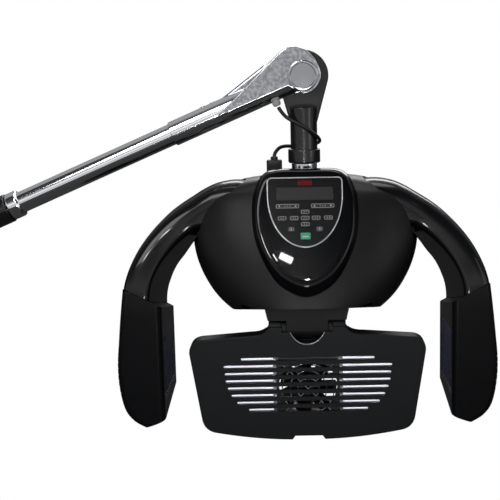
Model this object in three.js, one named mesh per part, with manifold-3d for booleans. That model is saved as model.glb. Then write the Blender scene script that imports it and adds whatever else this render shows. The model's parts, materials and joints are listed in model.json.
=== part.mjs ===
// Hair color processor hanging from a boom: millimetres, +Z up, the front faces -Y.
// The origin is the centre of the boom's flat root face. Places in the hanging head are given from the
// pivot axis: X to the right, Y to the back, Z up.
import * as THREE from 'three';
import { mergeVertices } from 'three/addons/utils/BufferGeometryUtils.js';
import Module from 'manifold-3d';

const wasm = await Module();
wasm.setup();

const DEG = Math.PI / 180;

// Fits
const GAP = 0.3;
const WALL = 3;
const SIDES = 28;

// Boom, from its root face to the pivot axis
const BOOM_TILT = 23;
const BOOM_LENGTH = 600;
const TUBE_R = 16;
const TUBE_WALL = 2;
const SLEEVE_R = 22;
const SLEEVE_END = 116;
const PLUG_FLANGE = 8;
const PLUG_SPIGOT = 26;
const PLUG_HOLE_R = 3;
const PLUG_HOLE_PITCH = 24;
const PLUG_HOLE_DEPTH = 14;
const COLLAR_R = 20.5;
const COLLAR_LENGTH = 19;

// Lap joint of the boom's casting and the post
const SOCKET_R = 18.5;
const SOCKET_LENGTH = 213;
const TUBE_INSERT = 95;
const LAP_DEPTH = 19;
const LAP_GAP = 1.2;
const EAR_R = 27;
const TANG_R = 38;
const TANG_CLEAR = 22;
const BOLT_R = 6;
const BOLT_HEAD_R = 11;
const BOLT_HEAD_H = 7;
const CAP_R = 22.5;
const CAP_H = 6;
const WASHER_R = 24;
const SCREW_R = 4;
const SCREW_LENGTH = 6;
const SCREW_PROUD = 0.8;
const SCREW_PLACES = [SOCKET_LENGTH - 58, SOCKET_LENGTH - 74];
const FAIRING_LENGTH = 128;
const GROMMET_R = 6.5;
const GROMMET_H = 7;
const GROMMET_PLACE = 52;
const GROMMET_Y = -8;

// Post and swivel, heights below the pivot axis
const POST_R = 20;
const POST_BORE = 15;
const POST_TOP = -46;
const TANG_FOOT = -70;
const POST_END = -129;
const BORE_TOP = -74;
const POST_COLLAR_R = 24;
const POST_COLLAR_TOP = -108;
const SPINDLE_FLANGE_R = 19;
const SPINDLE_FLANGE_H = 10;
const SPINDLE_FOOT_R = 12;
const SPINDLE_FOOT = -176;
const SWIVEL_WASHER_R = 24;
const SWIVEL_WASHER_H = 4;

// Dome: height, half-width, depth to the front, depth to the rear
const DOME_STATIONS = [
  [-146, 6, 6, 6],
  [-148.5, 64, 34, 40],
  [-155, 104, 46, 55],
  [-163, 130, 54, 68],
  [-172, 148, 61, 77],
  [-190, 159, 71, 88],
  [-212, 165, 81, 97],
  [-235, 168.5, 90, 103],
  [-262, 165, 99, 106],
  [-290, 156, 106, 106],
  [-318, 141, 110.5, 103],
  [-340, 121.5, 112, 98],
  [-364, 88, 110, 92],
];
const DOME_POWER = 2.8;
const DOME_LEVELS = 13;
const DOME_SIDES = 36;
const DOME_FOOT = -350;
const DOME_FOOT_RISE = 0.1875;
const NECK_HOLE_R = 32;
const COVER_T = 2.5;

// Chassis plates that stand before and behind the arm hubs
const PLATE_Y = 47;
const PLATE_T = 3;
const CHASSIS_TOP = -166;
const CHASSIS_TOP_T = 4;
const CHASSIS_TOP_HALF = 58;
const BOSS_R = 26;
const CHASSIS_SIDE = [[60, CHASSIS_TOP], [100, -177], [122, -193], [122, -236], [94, -296]];

// Arms: a band swept in the frontal plane round its own centre
const SWEEP_X = 140;
const SWEEP_Z = -330;
const ARM_STATIONS = [
  [103, 174, 118, 118],
  [93, 168, 112, 112],
  [86, 162, 110, 110],
  [78, 154.5, 111, 96],
  [66, 145.5, 104, 83],
  [50, 137.5, 98, 74],
  [32, 133, 95, 73],
  [15, 131.5, 93, 75],
  [2, 132, 91, 79],
  [-14, 138, 90, 85],
  [-25, 144, 90, 90],
];
const ARM_RINGS = 13;
const ARM_ROOT_HALF = 42;
const ARM_FOOT_HALF = 75;
const ARM_GROW_FROM = 78;
const ARM_GROW_TO = 4;
const ARM_EDGE_ROOT = 22;
const ARM_EDGE_FOOT = 14;
const ARM_INNER_EDGE = 8;
const HUB_X = 110;
const HUB_Z = -212;
const HUB_R = 34;
const PIN_R = 5;
const PIN_HEAD_R = 9;
const PIN_HEAD_H = 4;
const WINDOW_X = 95;
const WINDOW_FOOT = -258;

// Seam between arm and pod: a sloping plane
const SEAM_X = 268.5;
const SEAM_Z = -303;
const SEAM_SLOPE_X = 0.5;
const SEAM_SLOPE_Y = 0.2;

// Pods
const POD_FACE_X = 213;
const POD_TOP = -285;
const POD_FOOT = -503;
const POD_FOOT_SLOPE_X = -0.41;
const POD_FOOT_SLOPE_Y = -0.12;
const POD_OUTER = [
  [242, -516], [260, -505], [273, -487], [280, -455], [281.5, -420], [278, -380], [273.5, -338], [268, -295],
];
const POD_HALF = 77;
const POD_EDGE = 9;
const POD_WALL = 3.5;
const POD_OPEN_HALF = 64;
const POD_OPEN_TOP = -376;
const POD_OPEN_FOOT = -474;
const GUARD_T = 2.5;
const GUARD_RIM = 5;
const GUARD_BARS = 8;
const GUARD_BAR = 2.4;
const POD_REFLECTOR_X = 238;
const POD_REFLECTOR_HALF = 58;
const POD_REFLECTOR_TOP = -382;
const POD_REFLECTOR_FOOT = -468;
const SHEET_T = 1.2;
const LAMP_R = 5;
const LAMP_CAP_R = 7;
const LAMP_CAP_L = 14;
const STUD_R = 5;

// Control shield and fascia, on a plane that leans back
const FASCIA_LEAN = 22;
const FASCIA_Y = -81;
const FASCIA_Z = -193.5;
const FASCIA_HALF = 53;
const FASCIA_TOP = 50.5;
const FASCIA_FOOT = -50.5;
const FASCIA_WAIST = 2;
const FASCIA_CORNER = 5;
const TRIM_W = 1.4;
const TRIM_PROUD = 0.6;
const SHIELD_OUTLINE = [
  [0, 70], [40, 69], [57, 61], [67, 46], [75, 24], [78.5, -4],
  [74, -40], [58, -78], [35, -106], [0, -121],
];
const SHIELD_CENTRE = -8;
const SHIELD_CROWN = 18;
const SHIELD_DROP = 33;
const SHIELD_POWER = 6;
const SHIELD_SKIRT = 4;
const SHIELD_HOOD = 15;
const HOOD_FROM = 42;
const HOOD_TO = 58;
const SHIELD_STEPS = [1, 0.98, 0.945, 0.9, 0.6];
const SHIELD_SIDES = 36;

// Keys on the fascia
const KEY_PROUD = 0.8;
const KEY_TRAVEL = 0.6;
const KEY_LIP = 0.9;
const KEY_LIP_T = 1.1;
const KEY_CORNER = 1.2;
const CROSS_Z = -8.9;
const CROSS_PITCH_X = 15.7;
const CROSS_PITCH_Z = 9.1;
const KEY_LAYOUT = {
  key_timer_down: [-25.3, 8.9, 33.5, 6.6],
  key_timer_up: [25.3, 8.9, 33.5, 6.6],
  key_up: [0, CROSS_Z + CROSS_PITCH_Z, 12.4, 6.2],
  key_centre: [0, CROSS_Z, 12.4, 6.2],
  key_down: [0, CROSS_Z - CROSS_PITCH_Z, 12.4, 6.2],
  key_left: [-CROSS_PITCH_X, CROSS_Z, 12.4, 6.2],
  key_right: [CROSS_PITCH_X, CROSS_Z, 12.4, 6.2],
  key_mode_left: [-33.2, CROSS_Z, 12.4, 6.2],
  key_mode_right: [33.2, CROSS_Z, 12.4, 6.2],
  key_lamp: [-20.2, -25.2, 9.2, 6.6],
  key_fan: [20.2, -25.2, 9.2, 6.6],
  key_start: [0, -35.4, 14, 9.6],
};
const DISPLAY = [0, 27.8, 81, 19.2];
const SENSOR = [0, 43.6, 20, 7.6];
const WINDOW_SINK = 0.3;
const WINDOW_T = 2;
const BOARD_T = 1.6;
const BOARD_INSET = 4;
const STANDOFF_R = 1.8;
const STANDOFFS = [[-46, 14], [46, 14], [-34, -28], [34, -28]];

// Lead and its plug on the head's top
const LEAD_R = 2.75;
const LEAD_SIDES = 6;
const LEAD_STEPS = 44;
const PLUG_X = -45;
const PLUG_W = 23;
const PLUG_D = 18;
const PLUG_TOP = -124;
const PLUG_FOOT = -152;
const LEAD_ROUTE = [
  [-36.7, GROMMET_Y, -45.5], [-34.5, -8.6, -50], [-25, -16.5, -60.5], [-10, -21.7, -69], [6, -22.8, -78],
  [17, -16.2, -87], [22.8, -5.5, -94], [22.2, 8, -99], [14, 20, -103], [0, 26.5, -105.5], [-15, 25, -106],
  [-27, 18, -105], [-36.5, 8, -106.5], [-43.5, 1.3, -114], [-44.8, 0.1, -120],
  [PLUG_X, 0, PLUG_TOP + 2 * GAP],
];

// Centre panel, hung on a hinge under the dome's front lip
const HINGE_Y = -80;
const HINGE_Z = -364;
const BARREL_R = 18;
const TONGUE_R = 16.5;
const TONGUE_HALF = 30;
const LUG_FROM = 37;
const LUG_TO = 56;
const HINGE_PIN_R = 4;
const BRACKET_TOP = -327;
const BRACKET_FOOT = -349;
const BRACKET_HALF_TOP = 62;
const BRACKET_HALF_FOOT = 57;
const BRACKET_DEPTH = 18;
const PANEL_FRONT_Y = -100;
const PANEL_SPLIT_Y = -78;
const PANEL_RIM_Y = -70;
const PANEL_BACK_Y = -46;
const PANEL_EDGE = 8;
const PANEL_NECK = -358;
const PANEL_SHOULDER = -375;
const PANEL_HALF = 172;
const PANEL_CORNER = 21;
const PANEL_FOOT_HALF = 156.5;
const PANEL_SIDE_FOOT = -494;
const PANEL_FOOT = -528;
const PANEL_NOTCH_HALF = 20;
const PANEL_NOTCH = 5.5;
const VEE_HALF = 36;
const VEE_TIP = -384;
const SLOT_H = 5;
const SLOT_TOP = -405.4;
const SLOT_PITCH = 10.9;
const SLOT_HALVES = [97, 122.5, 121, 120, 117, 112, 104, 87];
const HUMP_TOP = -389;
const HUMP_FOOT = -511;
const HUMP_CORNER = 7;
const HUMP_EDGE = 4;
const WING_Y = -90;
const WING_FROM = 51;
const REFLECTOR_HALF = 132;
const HUMP_HALF = REFLECTOR_HALF + 7;
const REFLECTOR_TOP = -396;
const REFLECTOR_FOOT = -505;
const REFLECTOR_FLANGE = 17;
const STUD_PLACES = [[REFLECTOR_HALF - 10, -402], [REFLECTOR_HALF - 16, -498]];
const LAMP_Y = -57;
const LAMP_HEIGHTS = { panel_lamp_upper: -412, panel_lamp_lower: -494 };
const BACK_OPEN_HALF = REFLECTOR_HALF - 4;
const BACK_OPEN_TOP = -400;
const BACK_OPEN_FOOT = -501;
const BACK_BARS = 6;
const BACK_BAR = 3;

// Fan
const FAN_Z = -452;
const FAN_SIZE = 92;
const FAN_DEPTH = 25;
const FAN_BORE_R = 43.5;
const FAN_CORNER = 6;
const FAN_HUB_R = 18;
const FAN_HUB_DEPTH = 16;
const FAN_SHAFT_R = 2.5;
const FAN_STRUT = 5;
const FAN_STRUT_T = 3;
const BLADES = 7;
const BLADE_TIP_GAP = 1.5;
const BLADE_T = 1.6;
const BLADE_PITCH = 38;
const GUARD_WIRE = 1.8;
const GUARD_RINGS = [16, 27, 38];

// Derived places
const PIVOT = new THREE.Vector3(
  BOOM_LENGTH * Math.cos(BOOM_TILT * DEG),
  0,
  BOOM_LENGTH * Math.sin(BOOM_TILT * DEG),
);
const FLANGE_TOP = POST_END - GAP;
const FLANGE_FOOT = FLANGE_TOP - SPINDLE_FLANGE_H;
const SWIVEL_WASHER_TOP = FLANGE_FOOT - GAP;
const BOSS_TOP = SWIVEL_WASHER_TOP - SWIVEL_WASHER_H - GAP;
const FASCIA_T = WALL;
const BOARD_TOP = -FASCIA_T - GAP - KEY_LIP_T - KEY_TRAVEL - GAP;
const FAN_FRONT_Y = PANEL_FRONT_Y + WALL + GAP + GUARD_WIRE + GAP;
const FAN_BACK_Y = FAN_FRONT_Y + FAN_DEPTH;
const REFLECTOR_Y = FAN_BACK_Y + GAP;
const BIG = 2000;

// Finishes
function finish(color, roughness, metalness) {
  return new THREE.MeshStandardMaterial({ color, roughness, metalness });
}
const SATIN_BLACK = finish(0x191a1b, 0.38, 0);
const GLOSS_BLACK = finish(0x0d0e10, 0.08, 0);
const CHROME = finish(0xb9bcc4, 0.08, 1);
const CAST_CHROME = finish(0xa4a9b2, 0.2, 1);
const STEEL = finish(0x7c7f84, 0.4, 1);
const MIRROR_SHEET = finish(0xd2d4d8, 0.12, 1);
const QUARTZ = finish(0xb98a72, 0.1, 0);
const PALE_RUBBER = finish(0x9a9a98, 0.7, 0);
const BLACK_RUBBER = finish(0x141414, 0.6, 0);
const DISPLAY_GLASS = finish(0x3c3d40, 0.15, 0);
const SENSOR_RED = finish(0x5a1518, 0.15, 0);
const KEY_DARK = finish(0x1d1e20, 0.35, 0);
const KEY_GREEN = finish(0x2f8f70, 0.35, 0);
const BOARD_GREEN = finish(0x1f5a38, 0.5, 0);

// Turns any closed geometry into a solid with merged corners and faces that point out
function cleaned(geometry) {
  const bare = geometry.index ? geometry.toNonIndexed() : geometry.clone();
  bare.deleteAttribute('normal');
  bare.deleteAttribute('uv');
  const merged = mergeVertices(bare, 1e-3);
  const at = merged.attributes.position;
  const corners = [];
  let volume = 0;
  const a = new THREE.Vector3();
  const b = new THREE.Vector3();
  const c = new THREE.Vector3();
  for (let i = 0; i < merged.index.count; i += 3) {
    const [p, q, r] = [0, 1, 2].map((k) => merged.index.getX(i + k));
    if (p === q || q === r || r === p) continue;
    corners.push(p, q, r);
    a.fromBufferAttribute(at, p);
    b.fromBufferAttribute(at, q);
    c.fromBufferAttribute(at, r);
    volume += a.dot(b.cross(c));
  }
  merged.setIndex(volume < 0 ? corners.reverse() : corners);
  return merged;
}

function solid(geometry) {
  const closed = cleaned(geometry);
  return new wasm.Manifold(new wasm.Mesh({
    numProp: 3,
    vertProperties: new Float32Array(closed.attributes.position.array),
    triVerts: new Uint32Array(closed.index.array),
  }));
}

function joined(first, ...others) {
  return others.reduce((sum, next) => sum.add(next), first);
}

function cutBy(first, ...others) {
  return others.reduce((rest, next) => rest.subtract(next), first);
}

function shapeOf(body) {
  if (body.isBufferGeometry) return cleaned(body);
  const mesh = body.getMesh();
  const geometry = new THREE.BufferGeometry();
  geometry.setAttribute('position', new THREE.BufferAttribute(new Float32Array(mesh.vertProperties), 3));
  geometry.setIndex(new THREE.BufferAttribute(new Uint32Array(mesh.triVerts), 1));
  return geometry;
}

function mirrored(body) {
  return cleaned(shapeOf(body).clone().scale(-1, 1, 1));
}

function addPart(group, name, body, material) {
  const mesh = new THREE.Mesh(shapeOf(body), material);
  mesh.name = name;
  group.add(mesh);
}

// A profile of [radius, place along the axis] turned about an axis
function turned(profile, axis, sides = SIDES) {
  const points = profile.map(([r, along]) => new THREE.Vector2(r, along));
  if (profile[0][0] > 0) points.push(points[0].clone());
  const geometry = new THREE.LatheGeometry(points, sides);
  if (axis === 'x') geometry.rotateZ(-Math.PI / 2);
  if (axis === 'z') geometry.rotateX(Math.PI / 2);
  return geometry;
}

function rod(radius, from, to, axis, edge = 0, sides = SIDES) {
  const profile = [[0, from], [radius - edge, from], [radius, from + edge]];
  profile.push([radius, to - edge], [radius - edge, to], [0, to]);
  return turned(profile, axis, sides);
}

function tube(outer, inner, from, to, axis, edge = 0, sides = SIDES) {
  const profile = [[inner, from], [outer - edge, from], [outer, from + edge]];
  profile.push([outer, to - edge], [outer - edge, to], [inner, to]);
  return turned(profile, axis, sides);
}

function block(x0, x1, y0, y1, z0, z1) {
  const geometry = new THREE.BoxGeometry(x1 - x0, y1 - y0, z1 - z0);
  return geometry.translate((x0 + x1) / 2, (y0 + y1) / 2, (z0 + z1) / 2);
}

function extruded(shape, depth, edge, curveSteps = 6) {
  return new THREE.ExtrudeGeometry(shape, {
    depth: depth - 2 * edge,
    bevelEnabled: edge > 0,
    bevelThickness: edge,
    bevelSize: edge,
    bevelOffset: -edge,
    bevelSegments: 2,
    curveSegments: curveSteps,
  }).translate(0, 0, edge);
}

// An outline in the frontal plane, given depth from y0 to y1
function slab(shape, y0, y1, edge = 0, curveSteps = 6) {
  return extruded(shape, y1 - y0, edge, curveSteps).rotateX(Math.PI / 2).translate(0, y1, 0);
}

// An outline in the side plane (Y to the right, Z up), given width from x0 to x1
function strip(shape, x0, x1) {
  const turn = new THREE.Matrix4().makeBasis(
    new THREE.Vector3(0, 1, 0),
    new THREE.Vector3(0, 0, 1),
    new THREE.Vector3(1, 0, 0),
  );
  return extruded(shape, x1 - x0, 0).applyMatrix4(turn).translate(x0, 0, 0);
}

function polygon(points) {
  return new THREE.Shape(points.map(([x, y]) => new THREE.Vector2(x, y)));
}

// A closed outline from its right half, which runs from the top centre to the bottom centre
function bothSides(half) {
  const left = half.filter((p) => p.x > 1e-6).map((p) => new THREE.Vector2(-p.x, p.y)).reverse();
  return [...half, ...left];
}

// An outline moved inwards by a distance, corner by corner
function inset(points, distance) {
  const turn = THREE.ShapeUtils.isClockWise(points) ? 1 : -1;
  return points.map((p, i) => {
    const before = points[(i + points.length - 1) % points.length];
    const after = points[(i + 1) % points.length];
    const u = p.clone().sub(before).normalize();
    const v = after.clone().sub(p).normalize();
    const normal = new THREE.Vector2(u.y + v.y, -u.x - v.x).normalize().multiplyScalar(turn);
    const lean = Math.max(0.5, Math.abs(normal.x * u.y - normal.y * u.x));
    return p.clone().addScaledVector(normal, distance / lean);
  });
}

function roundRect(x, z, w, h, corner) {
  const r = Math.min(corner, w / 2 - 0.01, h / 2 - 0.01);
  const shape = new THREE.Shape();
  const [x0, x1, z0, z1] = [x - w / 2, x + w / 2, z - h / 2, z + h / 2];
  shape.moveTo(x0 + r, z0);
  shape.lineTo(x1 - r, z0);
  shape.absarc(x1 - r, z0 + r, r, -Math.PI / 2, 0);
  shape.lineTo(x1, z1 - r);
  shape.absarc(x1 - r, z1 - r, r, 0, Math.PI / 2);
  shape.lineTo(x0 + r, z1);
  shape.absarc(x0 + r, z1 - r, r, Math.PI / 2, Math.PI);
  shape.lineTo(x0, z0 + r);
  shape.absarc(x0 + r, z0 + r, r, Math.PI, Math.PI * 1.5);
  return shape;
}

// A closed skin through rings of points, with flat ends
function lofted(rings) {
  const count = rings[0].length;
  const points = rings.flat();
  const corners = [];
  for (let i = 0; i + 1 < rings.length; i += 1) {
    for (let k = 0; k < count; k += 1) {
      const next = (k + 1) % count;
      const [a, b] = [i * count + k, i * count + next];
      corners.push(a, b, b + count, a, b + count, a + count);
    }
  }
  for (const [ring, flip] of [[0, true], [rings.length - 1, false]]) {
    const middle = new THREE.Vector3();
    rings[ring].forEach((p) => middle.addScaledVector(p, 1 / count));
    const centre = points.push(middle) - 1;
    for (let k = 0; k < count; k += 1) {
      const [a, b] = [ring * count + k, ring * count + (k + 1) % count];
      corners.push(...(flip ? [b, a, centre] : [a, b, centre]));
    }
  }
  const geometry = new THREE.BufferGeometry().setFromPoints(points);
  geometry.setIndex(corners);
  return geometry;
}

// A smooth value from a list of stations, by share of the way through the list
function along(stations, column, share) {
  const curve = new THREE.SplineCurve(stations.map((row, i) => new THREE.Vector2(i, row[column])));
  return curve.getPoint(share).y;
}

// Boom, built along its own axis and then tilted
const boom = new THREE.Group();
boom.rotation.y = -BOOM_TILT * DEG;

function rootPlug() {
  const spigotR = TUBE_R - TUBE_WALL - GAP;
  const foot = PLUG_FLANGE + PLUG_SPIGOT;
  const profile = [[0, 0], [SLEEVE_R - 1, 0], [SLEEVE_R, 1], [SLEEVE_R, PLUG_FLANGE]];
  profile.push([spigotR, PLUG_FLANGE], [spigotR, foot], [0, foot]);
  const holes = [-1, 1].map((side) => {
    const hole = rod(PLUG_HOLE_R, -1, PLUG_HOLE_DEPTH, 'x', 0, 16);
    return solid(hole.translate(0, side * PLUG_HOLE_PITCH / 2, 0));
  });
  return cutBy(solid(turned(profile, 'x')), ...holes);
}

function boomKnuckle() {
  const pivot = BOOM_LENGTH;
  const socket = solid(rod(SOCKET_R, pivot - SOCKET_LENGTH, pivot - TANG_R, 'x', 1.2));
  const side = new THREE.Shape();
  side.moveTo(pivot - FAIRING_LENGTH, SOCKET_R - 1);
  side.lineTo(pivot - 14, 49);
  side.quadraticCurveTo(pivot - 2, 51, pivot + 8, 43);
  side.quadraticCurveTo(pivot + EAR_R, 30, pivot + EAR_R, 0);
  side.absarc(pivot, 0, EAR_R, 0, -Math.PI * 0.62, true);
  side.lineTo(pivot - 40, 1 - SOCKET_R);
  side.lineTo(pivot - FAIRING_LENGTH, 1 - SOCKET_R);
  const fairing = solid(slab(side, -LAP_DEPTH - LAP_GAP, LAP_DEPTH, 4, 5));
  const lap = solid(rod(TANG_R + TANG_CLEAR, -LAP_GAP, BIG, 'y').translate(pivot, 0, 0));
  const bolt = solid(rod(BOLT_R + GAP, -BIG, BIG, 'y').translate(pivot, 0, 0));
  const bore = solid(rod(TUBE_R + GAP, 0, pivot - SOCKET_LENGTH + TUBE_INSERT + GAP, 'x'));
  const screws = SCREW_PLACES.map((place) => solid(screwHole(place)));
  const lead = solid(rod(GROMMET_R - 2 + GAP, -SOCKET_R - 1, -SOCKET_R / 2, 'z', 0, 16)
    .translate(pivot - GROMMET_PLACE, GROMMET_Y, 0));
  return cutBy(joined(socket, fairing), lap, bolt, bore, lead, ...screws);
}

function screwHole(place) {
  return rod(SCREW_R + GAP, 0, BIG, 'z', 0, 16).translate(BOOM_LENGTH - place, 0, 0);
}

function setScrew(place) {
  const top = SOCKET_R + SCREW_PROUD;
  const foot = TUBE_R + GAP;
  const slot = solid(block(-BIG, BIG, -0.6, 0.6, top - 1, BIG));
  const screw = solid(rod(SCREW_R, foot, top, 'z', 0.4, 16));
  return shapeOf(cutBy(screw, slot)).translate(BOOM_LENGTH - place, 0, 0);
}

function grommet() {
  const seat = -SOCKET_R - GAP;
  const profile = [[0, seat - GROMMET_H], [GROMMET_R - 2.5, seat - GROMMET_H]];
  profile.push([GROMMET_R, seat - 2], [GROMMET_R, seat], [GROMMET_R - 2, seat]);
  profile.push([GROMMET_R - 2, seat + 4], [0, seat + 4]);
  return turned(profile, 'z', 20).translate(BOOM_LENGTH - GROMMET_PLACE, GROMMET_Y, 0);
}

function pivotCap() {
  const seat = -LAP_DEPTH - LAP_GAP - GAP;
  const profile = [[0, seat], [CAP_R - 1, seat], [CAP_R, seat - 1], [CAP_R, seat - CAP_H + 1.5]];
  profile.push([CAP_R - 1.5, seat - CAP_H], [CAP_R - 4, seat - CAP_H]);
  profile.push([CAP_R - 5, seat - CAP_H + 0.8], [0, seat - CAP_H + 0.8]);
  return turned(profile, 'y').translate(BOOM_LENGTH, 0, 0);
}

function pivotBolt() {
  const back = LAP_DEPTH + LAP_GAP + GAP;
  const profile = [[0, -LAP_DEPTH - LAP_GAP], [BOLT_R, -LAP_DEPTH - LAP_GAP], [BOLT_R, back]];
  profile.push([BOLT_HEAD_R, back], [BOLT_HEAD_R, back + BOLT_HEAD_H - 1]);
  profile.push([BOLT_HEAD_R - 1, back + BOLT_HEAD_H], [0, back + BOLT_HEAD_H]);
  return turned(profile, 'y').translate(BOOM_LENGTH, 0, 0);
}

const tubeFrom = PLUG_FLANGE + GAP;
const tubeTo = BOOM_LENGTH - SOCKET_LENGTH + TUBE_INSERT;
const collarFrom = SLEEVE_END + GAP;
addPart(boom, 'root_plug', rootPlug(), STEEL);
addPart(boom, 'root_sleeve', tube(SLEEVE_R, TUBE_R + GAP, tubeFrom, SLEEVE_END, 'x', 1), SATIN_BLACK);
addPart(boom, 'sleeve_collar',
  tube(COLLAR_R, TUBE_R + GAP, collarFrom, collarFrom + COLLAR_LENGTH, 'x', 2), CHROME);
addPart(boom, 'boom_tube', tube(TUBE_R, TUBE_R - TUBE_WALL, tubeFrom, tubeTo, 'x'), CHROME);
addPart(boom, 'boom_knuckle', boomKnuckle(), CAST_CHROME);
SCREW_PLACES.forEach((place, i) => {
  addPart(boom, `knuckle_screw_${i + 1}`, setScrew(place), STEEL);
});
addPart(boom, 'pivot_bolt', pivotBolt(), STEEL);
addPart(boom, 'pivot_cap', pivotCap(), CHROME);
addPart(boom, 'cable_grommet', grommet(), PALE_RUBBER);

// Post, swivel and head, placed from the pivot axis
const hanging = new THREE.Group();
hanging.position.copy(PIVOT);

function postTube() {
  const side = new THREE.Shape();
  side.absarc(0, 0, TANG_R, -0.2, Math.PI + 0.2);
  side.lineTo(-POST_R, TANG_FOOT);
  side.lineTo(POST_R, TANG_FOOT);
  const tang = solid(slab(side, LAP_GAP, LAP_DEPTH + LAP_GAP, 2, 12));
  const stem = solid(rod(POST_R, POST_END, POST_TOP, 'z', 0.8));
  const bolt = solid(rod(BOLT_R + GAP, -BIG, BIG, 'y'));
  const bore = solid(rod(POST_BORE, POST_END - 1, BORE_TOP, 'z'));
  return cutBy(joined(tang, stem), bolt, bore);
}

function swivelSpindle() {
  const shaft = POST_BORE - GAP;
  const profile = [[0, SPINDLE_FOOT], [SPINDLE_FOOT_R, SPINDLE_FOOT], [SPINDLE_FOOT_R, FLANGE_FOOT]];
  profile.push([SPINDLE_FLANGE_R, FLANGE_FOOT], [SPINDLE_FLANGE_R, FLANGE_TOP]);
  profile.push([shaft, FLANGE_TOP], [shaft, BORE_TOP - GAP], [0, BORE_TOP - GAP]);
  return turned(profile, 'z');
}

addPart(hanging, 'post_tube', postTube(), SATIN_BLACK);
addPart(hanging, 'post_collar',
  tube(POST_COLLAR_R, POST_R + GAP, POST_END, POST_COLLAR_TOP, 'z', 1.5), SATIN_BLACK);
addPart(hanging, 'pivot_washer',
  tube(WASHER_R, BOLT_R + GAP, GAP - LAP_GAP, LAP_GAP - GAP, 'y'), STEEL);
addPart(hanging, 'swivel_spindle', swivelSpindle(), CHROME);
addPart(hanging, 'swivel_washer', tube(SWIVEL_WASHER_R, SPINDLE_FOOT_R + GAP,
  SWIVEL_WASHER_TOP - SWIVEL_WASHER_H, SWIVEL_WASHER_TOP, 'z', 0.8), CHROME);

function leadTube() {
  const route = new THREE.CatmullRomCurve3(LEAD_ROUTE.map((p) => new THREE.Vector3(...p)));
  const section = new THREE.Shape();
  section.absarc(0, 0, LEAD_R, 0, Math.PI * 2);
  return new THREE.ExtrudeGeometry(section, {
    steps: LEAD_STEPS,
    curveSegments: LEAD_SIDES / 2,
    bevelEnabled: false,
    extrudePath: route,
  });
}

function leadPlug(grow) {
  const shape = roundRect(PLUG_X, 0, PLUG_W + 2 * grow, PLUG_D + 2 * grow, 4);
  return extruded(shape, PLUG_TOP - PLUG_FOOT + grow, 0, 2).translate(0, 0, PLUG_FOOT - grow);
}

addPart(hanging, 'lead', leadTube(), BLACK_RUBBER);
addPart(hanging, 'lead_plug', leadPlug(0), BLACK_RUBBER);

// Dome: level rings that widen, deepen and close in again
function domeSolid(depth) {
  const rings = [];
  for (let i = 0; i <= DOME_LEVELS; i += 1) {
    const share = i / DOME_LEVELS;
    const [z, half, front, rear] = [0, 1, 2, 3].map((column) => along(DOME_STATIONS, column, share));
    const step = 0.5 / DOME_LEVELS;
    const below = Math.min(1, share + step);
    const above = Math.max(0, share - step);
    const rise = along(DOME_STATIONS, 0, above) - along(DOME_STATIONS, 0, below);
    const run = along(DOME_STATIONS, 1, below) - along(DOME_STATIONS, 1, above);
    const tilt = Math.atan2(run, rise);
    const inwards = depth * Math.cos(tilt);
    const level = z - depth * Math.sin(tilt);
    const ring = [];
    for (let k = 0; k < DOME_SIDES; k += 1) {
      const angle = k * 2 * Math.PI / DOME_SIDES;
      const reach = Math.sin(angle) < 0 ? front : rear;
      const [c, s] = [Math.cos(angle), Math.sin(angle)];
      const x = (half - inwards) * Math.sign(c) * Math.abs(c) ** (2 / DOME_POWER);
      const y = (reach - inwards) * Math.sign(s) * Math.abs(s) ** (2 / DOME_POWER);
      ring.push(new THREE.Vector3(x, y, level));
    }
    rings.push(ring);
  }
  return solid(lofted(rings));
}

// Everything below the dome's foot, which rises towards the front
function belowFoot(lift) {
  const foot = DOME_FOOT + lift;
  const front = foot + DOME_FOOT_RISE * BIG;
  return solid(strip(polygon([[-BIG, front], [0, foot], [BIG, foot], [BIG, -BIG], [-BIG, -BIG]]), -BIG, BIG));
}

// Fascia frame: x across, y up the slope, z out of the surface
const fasciaTurn = new THREE.Matrix4()
  .makeRotationX(Math.PI / 2 - FASCIA_LEAN * DEG)
  .setPosition(0, FASCIA_Y, FASCIA_Z);

function shieldRing(scale, grow, lift) {
  const half = SHIELD_OUTLINE.map(([x, v]) => new THREE.Vector2(x, v));
  const closed = bothSides(half).map((p) => new THREE.Vector3(p.x, p.y, 0));
  const outline = new THREE.CatmullRomCurve3(closed, true).getPoints(SHIELD_SIDES).slice(0, -1);
  const height = Math.min(0, SHIELD_CROWN - SHIELD_DROP * scale ** SHIELD_POWER);
  return inset(outline.map((p) => new THREE.Vector2(p.x, p.y)), -grow).map((p) => new THREE.Vector3(
    p.x * scale,
    SHIELD_CENTRE + (p.y - SHIELD_CENTRE) * scale,
    height + lift,
  ));
}

function shieldSolid(grow) {
  const edge = SHIELD_CROWN - SHIELD_DROP;
  const foot = shieldRing(1, grow, 0).map((p) => {
    const hood = THREE.MathUtils.smoothstep(p.y, HOOD_FROM, HOOD_TO);
    const skirt = THREE.MathUtils.lerp(SHIELD_SKIRT, SHIELD_HOOD, hood);
    return new THREE.Vector3(p.x, p.y, edge - skirt + Math.min(0, grow));
  });
  const rings = SHIELD_STEPS.map((scale) => shieldRing(scale, grow, grow));
  return solid(lofted([foot, ...rings]));
}

function fasciaShape(grow) {
  const half = FASCIA_HALF + grow;
  const top = FASCIA_TOP + grow;
  const corner = FASCIA_CORNER + grow;
  const shape = new THREE.Shape();
  shape.moveTo(-half, FASCIA_WAIST);
  shape.absellipse(0, FASCIA_WAIST, half, FASCIA_WAIST - FASCIA_FOOT + grow, Math.PI, 2 * Math.PI);
  shape.lineTo(half, top - corner);
  shape.absarc(half - corner, top - corner, corner, 0, Math.PI / 2);
  shape.lineTo(corner - half, top);
  shape.absarc(corner - half, top - corner, corner, Math.PI / 2, Math.PI);
  return shape;
}

function fasciaPlate(shape, from, to, curveSteps = 7) {
  return extruded(shape, to - from, 0, curveSteps).translate(0, 0, from);
}

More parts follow.
